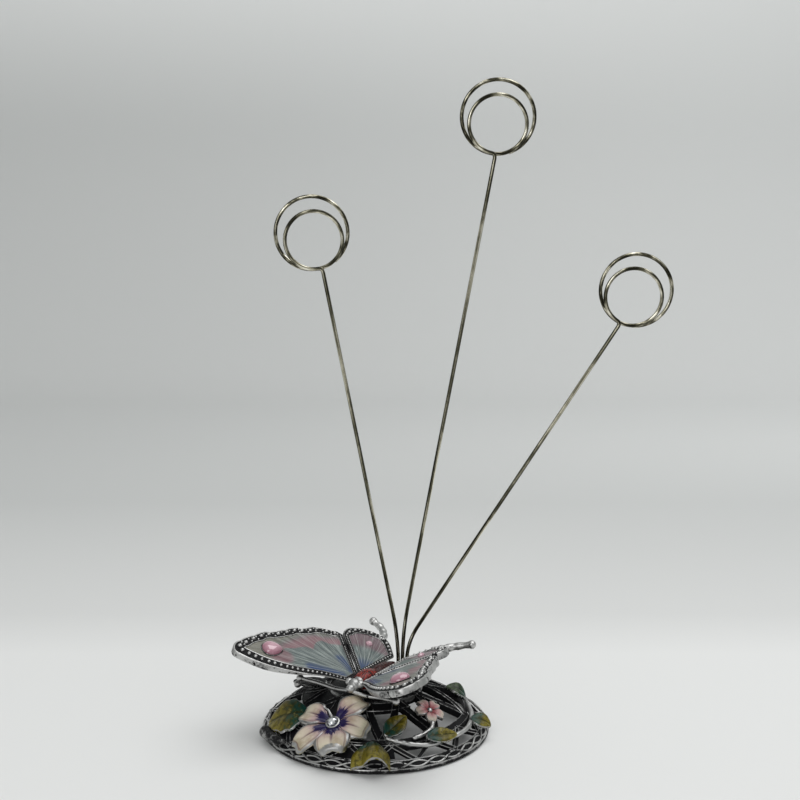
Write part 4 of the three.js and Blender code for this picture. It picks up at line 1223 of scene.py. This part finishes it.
class Tree(Nodes):
    """A geometry tree with named inputs, and short calls for its nodes."""

    def __init__(self, name, inputs):
        super().__init__(bpy.data.node_groups.new(name, "GeometryNodeTree"))
        face = self.tree.interface
        face.new_socket("Geometry", in_out="INPUT", socket_type="NodeSocketGeometry")
        self.names = {}
        for label, value in inputs.items():
            socket = face.new_socket(label, in_out="INPUT", socket_type="NodeSocketFloat")
            socket.default_value = value
            self.names[label] = socket.identifier
        face.new_socket("Geometry", in_out="OUTPUT", socket_type="NodeSocketGeometry")
        self.given = self.tree.nodes.new("NodeGroupInput")
        self.result = self.tree.nodes.new("NodeGroupOutput")

    def input(self, label):
        return self.given.outputs[label]

    def end(self, geometry, bright, finish):
        """Realized and smooth, with its rubbed brightness and its material."""
        real = self.add("GeometryNodeRealizeInstances", 0, {"Geometry": geometry})
        rubbed = self.add("GeometryNodeStoreNamedAttribute", 0, {
            "Geometry": real, "Name": "bright", "Value": bright,
        }, data_type="FLOAT", domain="POINT")
        soft = self.add("GeometryNodeSetShadeSmooth", 0, {"Geometry": rubbed})
        done = self.add("GeometryNodeSetMaterial", 0, {"Geometry": soft, "Material": finish.material})
        self.put(self.result.inputs["Geometry"], done)
        return self


def grown(name, tree, seeds=(), sizes=(), **inputs):
    """The mesh that a tree grows, as a plain object; seeds are points in metres, each with its size."""
    mesh = bpy.data.meshes.new(name + "_seed")
    mesh.from_pydata(seeds, [], [])
    mesh.attributes.new("size", "FLOAT", "POINT").data.foreach_set("value", np.asarray(sizes, np.float32))
    seed = linked(name + "_seed", mesh)
    modifier = seed.modifiers.new("tree", "NODES")
    modifier.node_group = tree.tree
    for label, value in inputs.items():
        modifier[tree.names[label]] = value
    bpy.context.view_layer.update()
    depsgraph = bpy.context.evaluated_depsgraph_get()
    grown_mesh = bpy.data.meshes.new_from_object(seed.evaluated_get(depsgraph))
    seed.modifiers.clear()
    bpy.data.objects.remove(seed)
    grown_mesh.name = name
    return linked(name, grown_mesh)


def bead_tree():
    """A small ball on every point, of the point's own size."""
    tree = Tree("beads", {"Unit": MM})
    drop = tree.add("GeometryNodeMeshIcoSphere", 0, {"Radius": tree.input("Unit"), "Subdivisions": 3})
    size = tree.add("GeometryNodeInputNamedAttribute", 0, {"Name": "size"}, data_type="FLOAT")
    seeds = tree.add("GeometryNodeMeshToPoints", 0, {"Mesh": tree.input("Geometry")})
    beads = tree.add("GeometryNodeInstanceOnPoints", 0, {"Points": seeds, "Instance": drop, "Scale": size})
    return tree.end(beads, 1.0, PEWTER)


def braid_tree():
    """One strand of a two-strand braid: it sways across the rim's face and dips under the other."""
    labels = ("Ring", "Height", "Sway", "Dip", "Waves", "Start", "Thickness")
    tree = Tree("rim_strand", {label: 0.0 for label in labels})

    def circle(steps, radius):
        inputs = {"Resolution": steps, "Radius": radius}
        return tree.add("GeometryNodeCurvePrimitiveCircle", 0, inputs, mode="RADIUS")

    turn = tree.times(tree.add("GeometryNodeSplineParameter", "Factor"), TURN)
    wave = tree.sum("ADD", tree.times(turn, tree.input("Waves")), tree.input("Start"))
    sway = tree.times(tree.sum("SINE", wave), tree.input("Sway"))
    dip = tree.times(tree.sum("COSINE", wave), tree.input("Dip"))
    out, high = (
        tree.sum("ADD", tree.input(label), tree.sum("ADD", tree.times(sway, slope), dip))
        for label, slope in zip(("Ring", "Height"), BRAID_SLOPE)
    )
    x, y = (tree.times(out, tree.sum(way, turn)) for way in ("COSINE", "SINE"))
    where = tree.add("ShaderNodeCombineXYZ", 0, {"X": x, "Y": y, "Z": high})
    line = circle(STRAND_STEPS, 1.0)
    strand = tree.add("GeometryNodeSetPosition", 0, {"Geometry": line, "Position": where})
    section = circle(STRAND_SIDES, tree.input("Thickness"))
    cord = tree.add("GeometryNodeCurveToMesh", 0, {"Curve": strand, "Profile Curve": section})
    return tree.end(cord, BRAID_SHINE, PEWTER)


def rim_braid():
    tree = braid_tree()
    lengths = {
        "Ring": BRAID_RADIUS, "Height": BRAID_HEIGHT, "Sway": BRAID_SWAY, "Dip": BRAID_DIP,
        "Thickness": STRAND_RADIUS,
    }
    inputs = {label: value * MM for label, value in lengths.items()}
    for name, start in (("first", 0.0), ("second", math.pi)):
        strand = grown(f"rim_braid_{name}_strand", tree, Waves=float(BRAID_WAVES), Start=start, **inputs)
        seated(strand)


def wing_beads(name, side, tree):
    beads = border_beads(side)
    points = flat(beads, side, beads[:, 2])
    piece = grown(f"{name}_wing_beads", tree, moved(points, wing_seat(side)) * MM, beads[:, 3])
    seated(piece)


# Butterfly's body and stones

def butterfly_body():
    line = spaced(spline(BODY_STATIONS, 12), BODY_SPACING)
    behind = line[:, 0] < WAIST
    segment = np.where(behind, np.abs(np.sin(math.pi * (line[:, 0] - WAIST) / ABDOMEN_RING)), 1)
    groove = np.clip((GROOVE_SHARE - segment) / GROOVE_SHARE, 0, 1)
    thick = np.maximum(line[:, 1] * (1 - GROOVE_DEPTH * groove), 0.02)
    head = smooth((line[:, 0] - HEAD) / HEAD_FADE)
    form = lathe(list(zip(thick, line[:, 0])), 36, groove=groove, bright=head)
    lifted = BUTTERFLY @ Matrix.Translation((0, 0, BODY_LIFT))
    placed(form, lifted @ rotation(90, "Y"))
    stud = lathe([(STUD_RADIUS, STUD_FOOT), (STUD_RADIUS, 0)], 24, groove=1.0)
    placed(stud, BUTTERFLY)
    make_piece("butterfly_trunk", "butterfly_body", [form, stud], [BODY])
    forward, out, up = EYE_PLACE
    balls = [ball((forward, side * out, up), EYE_RADIUS, bright=EYE_SHINE) for side in SIDES.values()]
    balls.append(ball(SNOUT_PLACE, SNOUT_RADIUS, bright=EYE_SHINE))
    make_piece("butterfly_eyes", None, balls, [PEWTER], lifted)


def antennae():
    for name, side in SIDES.items():
        reach = side * ANTENNA_STRETCH[name]
        route = spline([(forward, reach * out, up + BODY_LIFT) for forward, out, up in ANTENNA_ROUTE], 14)
        end = route[-1]
        forms = [
            tube(route, ANTENNA_RADIUS, 14, bright=ANTENNA_SHINE),
            ball(end, ANTENNA_BALL_RADIUS, bright=ANTENNA_BALL_SHINE),
        ]
        if name == "left":
            curl = end + np.array(LEFT_ANTENNA_CURL)
            forms.append(ball(curl, ANTENNA_BALL_RADIUS, bright=ANTENNA_CURL_SHINE))
        make_piece(f"{name}_feeler", f"{name}_antenna", forms, [PEWTER], BUTTERFLY)


def pear(scale, height):
    """Outline of the pear stone in its own plane."""
    turn = TURN * np.arange(PEAR_SIDES) / PEAR_SIDES
    along, across = np.cos(turn), np.sin(turn)
    across = across * (1 + CABOCHON_TAPER * along - CABOCHON_POINT * np.clip(-along, 0, 1) ** 4)
    x, y = CABOCHON_LENGTH / 2 * scale * along, CABOCHON_WIDTH / 2 * scale * across
    return np.column_stack([x, y, np.full(PEAR_SIDES, height)])


def on_wing(side, place):
    forward, out = place
    return wing_seat(side) @ Matrix.Translation((forward, side * out, STONE_SEAT))


def wing_stones(name, side):
    seat = on_wing(side, CABOCHON_PLACE) @ rotation(side * CABOCHON_TURN, "Z")
    shares = np.linspace(0.97, 0.03, 14)
    rise = CABOCHON_HEIGHT - CABOCHON_GIRDLE
    dome = [pear(1, 0.0), pear(1, CABOCHON_GIRDLE)]
    dome += [pear(s, CABOCHON_GIRDLE + rise * (1 - s**3) ** 0.7) for s in shares]
    stone = loops(dome, depth=np.concatenate([[1, 1], shares**2]))
    make_piece(f"{name}_pear_stone", f"{name}_cabochon", [stone], [PINK_STONE], seat)
    bezel = loops([pear(scale, height) for scale, height, _ in BEZEL], bright=[b for _, _, b in BEZEL])
    make_piece(f"{name}_pear_bezel", None, [bezel], [PEWTER], seat)
    seat = on_wing(side, WING_STONE_PLACE)
    brilliant(f"{name}_round_stone", f"{name}_wing_stone", WING_STONE_RADIUS, PINK_STONE, seat)


def brilliant(name, node, radius, finish, seat):
    """A round stone with a flat back: girdle, three rows of crown facets and a table."""
    points = np.vstack([ring(share, height, FACETS, shift) for share, height, shift in FACET_ROWS])
    faces = [list(range(FACETS))[::-1]]
    for r in range(len(FACET_ROWS) - 1):
        a, b = r * FACETS, (r + 1) * FACETS
        shifted = FACET_ROWS[r + 1][2] - FACET_ROWS[r][2]
        for j in range(FACETS):
            k = (j + 1) % FACETS
            if shifted == 0:
                faces.append([a + j, a + k, b + k, b + j])
            elif shifted > 0:
                faces += [[a + j, a + k, b + j], [a + k, b + k, b + j]]
            else:
                faces += [[a + j, b + k, b + j], [a + j, a + k, b + k]]
    faces.append([(len(FACET_ROWS) - 1) * FACETS + j for j in range(FACETS)])
    make_piece(name, node, [shell(points * radius, faces)], [finish], seat, sharp=5)


# Flowers, leaves and vine

def pillow(size, place, thickness, values):
    """A leaf-like closed skin: two faces that meet in a round edge. Finish 0 above, 1 below.

    Its points and their values follow u, from foot to tip, and v, from side to side.
    """
    rows, columns = size
    u, v = np.meshgrid(np.linspace(0, 1, rows), np.linspace(-1, 1, columns), indexing="ij")
    edge = np.maximum(np.abs(v), np.abs(2 * u - 1))
    half = thickness / 2 * np.sqrt(np.clip(1 - edge**10, 0, 1))
    x, y, z = place(u, v)
    points = [np.column_stack([x.ravel(), y.ravel(), (z + sign * half).ravel()]) for sign in (1, -1)]
    upper, corners = grid(rows, columns)
    lower = [[i + rows * columns for i in face[::-1]] for face in upper]
    finish = np.repeat([0, 1], len(upper))
    data = {}
    for key, (above, below) in values(u, v, edge).items():
        data[key] = np.concatenate([above.ravel(), np.full(above.size, below)])
    return shell(np.vstack(points), upper + lower, corners + [c[::-1] for c in corners], finish, **data)


def leaf_form(length, width, cup=0.5, curl=0.0, lift=0.0, hood=0.0, waves=0.0, tilt=0.0):
    """A pointed leaf with a midrib and side veins, or one whose wide end stands up in a hood."""
    def place(u, v):
        aside = np.abs(v)
        swing = np.sin(math.pi * u)
        pointed = np.sin(math.pi * u**0.85) ** 0.8
        opened = np.sin(math.pi / 2 * np.minimum(1, 1.5 * u)) ** 0.8
        spread = np.maximum(0.06, opened if hood else pointed)
        frill = 1 + waves * 0.05 * np.sin(TURN * 4 * u)
        x = length * (u - 0.5)
        y = width / 2 * spread * frill * v
        leaning = abs(tilt) * (1 - np.sign(tilt) * v) / 2 * swing
        rise = cup * v**2 * swing + curl * u**2 + leaning
        if hood:
            lip = np.clip((u - 0.9) / 0.1, 0, 1) ** 2
            arch = np.clip(1 - ((v - HOOD_MIDDLE) / (1 - HOOD_MIDDLE)) ** 2, 0, 1)
            rise = rise + hood * np.sin(0.62 * math.pi * u) * arch - 1.6 * v**4 * u**2 - 0.25 * lip
        swell = 0.35 * np.sin(math.pi * np.clip(aside * 1.1, 0, 1)) * swing
        ribs = 0.12 * np.sin(TURN * (LEAF_VEINS * u - VEIN_SLANT * aside)) * aside * (1 - v**2)
        return x, y, dome_fall(x, y) + GAP + LEAF_THICKNESS / 2 + lift + rise + swell + ribs

    def values(u, v, edge):
        midrib = np.exp(-((v / 0.1) ** 2)) * (u < 0.92) * (not hood)
        wave = np.sin(TURN * (LEAF_VEINS * u - VEIN_SLANT * np.abs(v) + 0.25))
        side_veins = np.clip(wave * 4 - 3.2, 0, 1) * (np.abs(v) < 0.85)
        bright = np.clip((u - 0.945) / 0.02, 0, 0.9) if hood else np.clip((edge - 0.9) / 0.05, 0, 1)
        return {"vein": (np.clip(midrib + 0.8 * side_veins, 0, 1), 0.0), "bright": (bright, 0.05)}

    return pillow(LEAF_GRID, place, LEAF_THICKNESS, values)


def petal_form(length, width, lift, stand):
    """A petal with a creased middle and puffed halves; a lifted one ends in a rolled lip over a hollow."""
    def place(u, v):
        oval_half = np.sqrt(np.clip(1 - ((u - PETAL_WIDEST) / 0.64) ** 2, 0, 1))
        half = width / 2 * oval_half * (0.4 + 0.6 * smooth(u / 0.5))
        reach = 1 - 0.2 * v**4 * u - 0.07 * u * (1 - v**2) ** 4
        x = PETAL_FOOT * length + length * u * reach
        y = half * v
        arch = 0.14 * length * np.sin(math.pi * (0.8 * u + 0.1))
        puff = 0.06 * length * np.sin(math.pi * np.abs(v)) * np.sin(math.pi * np.clip(u * 1.05, 0, 1))
        rolled = 0.06 * length * v**2 * u + 0.03 * length * smooth((np.abs(v) - 0.8) / 0.2)
        if lift:
            lip = np.clip((u - 0.86) / 0.14, 0, 1) ** 2
            rolled = rolled + lift * length * u**2 * (1 - 0.8 * v**2) - 0.05 * length * lip
        return x, y, dome_fall(x, y) + GAP + PETAL_THICKNESS / 2 + stand * u + arch + puff + rolled

    def values(u, v, edge):
        aside = np.abs(v)
        crease = np.exp(-((v / 0.06) ** 2)) * np.clip((0.85 - u) / 0.3, 0, 1)
        rays = np.clip(np.sin(TURN * 3.5 * aside) * 3 - 2.2, 0, 1) * np.clip((0.66 - u) / 0.25, 0, 1)
        sides, ends = np.clip((aside - 0.78) / 0.04, 0, 0.9), np.clip((edge - 0.86) / 0.04, 0, 1)
        bright = np.maximum(sides, ends) * smooth((u - 0.12) / 0.2)
        if lift:
            bright = np.maximum(bright, np.clip((u - 0.96 + 2 * lift**2 * (1 - v**2)) / 0.03, 0, 0.62))
        outline = np.clip(1 - np.abs(np.maximum(aside, edge - 0.07) - 0.74) / 0.06, 0, 1) * (u > 0.2)
        vein = np.clip(crease + 0.6 * rays + outline, 0, 1)
        return {"vein": (vein, 0.0), "bright": (bright, 0.1), "star": (u + 0.26 * aside, 1.0)}

    return pillow(PETAL_GRID, place, PETAL_THICKNESS, values)


def flower(name, bloom, finish, tendril=False):
    seat = dome_seat(bloom.azimuth, bloom.inset)
    forms = []
    for direction, *sizes in zip(bloom.petals, bloom.lengths, bloom.widths, bloom.lifts, bloom.rises):
        forms.append(placed(petal_form(*sizes), rotation(direction - bloom.azimuth, "Z")))
    top = GAP + HUB_HEIGHT * bloom.lengths[0] + PETAL_THICKNESS
    hub = [(bloom.stone, GAP, 0)]
    hub += edge_at(HUB_EDGE, bloom.stone, HUB_RING * bloom.stone, top)
    hub.append((HUB_MIDDLE, top, 0))
    forms += [worn_lathe(hub, 32, 1), calyx(CALYX_SHARE * bloom.lengths[1])]
    if tendril:
        forms.append(placed(curled_tendril(), rotation(TENDRIL_DIRECTION - bloom.azimuth, "Z")))
    make_piece(f"{name}_bloom", name, forms, [finish, PEWTER], seat)
    stone_seat = seat @ Matrix.Translation((0, 0, top + CRYSTAL_LIFT))
    brilliant(f"{name}_crystal", f"{name}_stone", bloom.stone, CLEAR_STONE, stone_seat)


def calyx(radius):
    """The black backing that shows between the petals."""
    under = [(r, float(dome_fall(r, 0)) + GAP) for r in np.linspace(0.1, radius, 8)]
    over = [(r, z + CALYX_THICKNESS) for r, z in under[::-1]]
    return lathe(under + over, 40, 1, bright=0.0)


def curled_tendril():
    """A thin curl that stands up between the two upper petals."""
    route = spline(TENDRIL_ROUTE, 10)
    return tube(route, np.linspace(*TENDRIL_RADII, len(route)), 12, finish=1, bright=TENDRIL_SHINE)


def leaf(name, azimuth, inset, heading, enamel=LEAF, **form):
    forms = [leaf_form(**form)]
    if "hood" in form:
        # A black rod of painted shade fills the hood's hollow
        forms.append(tube(HOOD_SHADE_ROUTE, HOOD_SHADE_RADIUS, 20, finish=1, bright=0.0))
    make_piece(f"{name}_blade", name, forms, [enamel, PEWTER], dome_seat(azimuth, inset, heading))


def leaves():
    over_vine = 2 * VINE_RADIUS + GAP
    leaf("left_leaf", -155.5, 7, -38, length=15, width=13, curl=0.9, waves=1, tilt=2.2)
    leaf("front_leaf", -92.5, 3.6, 0, length=9.4, width=12, cup=0, curl=1.6, hood=6.1)
    leaf("middle_leaf", -76, 11.9, 130, length=11, width=6.6)
    leaf("upper_leaf", 8, 10.9, 170, GREEN_LEAF, length=8, width=5.4, tilt=2.2)
    leaf("vine_leaf", -52, 5.5, 78, length=11.4, width=5.6, lift=over_vine)
    leaf("rim_leaf", -18, 3.3, 20, length=7.4, width=5.4, lift=over_vine - 1.2, curl=1.6, tilt=-1.8)


def rim_bud():
    """A rolled bud on the rim, black with a few worn specks."""
    route = spline([on_dome(azimuth, radius, RIM_BUD_LIFT)[0] for azimuth, radius in RIM_BUD_ROUTE], 8)
    roll = tube(route, np.linspace(*RIM_BUD_RADII, len(route)), 24, bright=RIM_BUD_SHINE)
    make_piece("rim_bud_roll", "rim_bud", [roll], [PEWTER])


def vine(name, route):
    lift = GAP + VINE_RADIUS
    line = spline([on_dome(azimuth, BASE_RADIUS - inset, lift)[0] for azimuth, inset in route], 14)
    steps = np.arange(len(line))
    knots = 1 + sum(depth * np.sin(steps * pace) for depth, pace in VINE_KNOTS)
    make_piece(f"{name}_stem", name, [tube(line, VINE_RADIUS * knots, 14, bright=VINE_SHINE)], [PEWTER])


# Stage, light and camera

def stage():
    """A pale sweep: floor and wall in one sheet with a soft bend behind the object."""
    bends = np.linspace(0.1, math.pi / 2, 12)
    start = SWEEP_BACK - SWEEP_BEND
    profile = [(-SWEEP_FRONT, 0.0), (start, 0.0)]
    profile += [(start + SWEEP_BEND * math.sin(a), SWEEP_BEND - SWEEP_BEND * math.cos(a)) for a in bends]
    profile.append((SWEEP_BACK, SWEEP_HEIGHT))
    points = [(x, y, z - SWEEP_DROP) for y, z in profile for x in (-SWEEP_HALF_WIDTH, SWEEP_HALF_WIDTH)]
    faces = [[2 * i, 2 * i + 1, 2 * i + 3, 2 * i + 2] for i in range(len(profile) - 1)]
    mesh = bpy.data.meshes.new("sweep")
    mesh.from_pydata(points, [], faces)
    mesh.polygons.foreach_set("use_smooth", [True] * len(faces))
    mesh.materials.append(sweep_finish().material)
    sweep = linked("sweep", mesh)


def sweep_finish():
    """Pale matt paper, with painted shade that greys it behind the object and painted light that makes it
    lighter to the right and up the wall.
    """
    f = Finish("pale_sweep", Roughness=0.7, Specular_IOR_Level=0.2)
    aside, depth, height = (f.axis(name) for name in "XYZ")
    # Painted shade: the paper greys with depth behind the object
    shade = f.ramp(depth, [
        (0.07, (0.8, 0.805, 0.8)), (0.12, (0.7, 0.705, 0.7)),
        (0.34, (0.6, 0.61, 0.605)), (0.9, (0.69, 0.7, 0.695)),
    ])
    # Painted light: lighter to the right, further back
    right = f.times(f.range(depth, 0.2, 0.6), f.range(aside, -0.3, 0.8))
    shade = f.mix(right, shade, (0.84, 0.85, 0.845))
    # Painted light in a band up the wall
    painted_wall_light = f.times(f.range(height, 0.27, 0.55), f.range(height, 0.6, 0.9, 1.0, 0.0))
    f.set(Base_Color=f.mix(painted_wall_light, shade, (0.99, 1.0, 0.995)))
    return f


def lights():
    for given in LIGHTS:
        lamp = bpy.data.lights.new(given.name, "AREA")
        lamp.size = given.size
        lamp.energy = given.power
        lamp_object = linked(given.name, lamp)
        lamp_object.location = given.place
        aim = Vector(given.target) - Vector(given.place)
        lamp_object.rotation_euler = aim.to_track_quat("-Z", "Y").to_euler()
    world = bpy.data.worlds.new("soft_room")
    world.use_nodes = True
    room = world.node_tree.nodes["Background"].inputs
    room["Color"].default_value = ROOM_COLOUR
    room["Strength"].default_value = ROOM_STRENGTH
    bpy.context.scene.world = world


def camera():
    """The photograph's view: from about the clips' height, looking slightly down."""
    lens = bpy.data.cameras.new("camera")
    lens.sensor_width = CAMERA_SENSOR
    lens.lens = CAMERA_LENS
    lens.shift_x = CAMERA_SHIFT
    lens.clip_start = CAMERA_NEAR
    viewer = linked("camera", lens)
    viewer.location = CAMERA_PLACE
    viewer.rotation_euler = (math.radians(90 + CAMERA_PITCH), 0, 0)
    bpy.context.scene.camera = viewer


def main():
    camera()
    stage()
    lights()
    wires()
    base_casting()
    rim_braid()
    wire_socket()
    butterfly_body()
    antennae()
    beads = bead_tree()
    for name, side in SIDES.items():
        wing_casting(name, side)
        for part in WING_ENAMEL:
            wing_enamel(name, side, part)
        wing_beads(name, side, beads)
        wing_stones(name, side)
    flower("large_flower", LARGE_FLOWER, PETAL, tendril=True)
    flower("small_flower", SMALL_FLOWER, BLOSSOM)
    leaves()
    rim_bud()
    vine("vine", VINE_ROUTE)
    vine("vine_branch", BRANCH_ROUTE)
    bpy.context.scene.view_settings.view_transform = "Standard"


main()
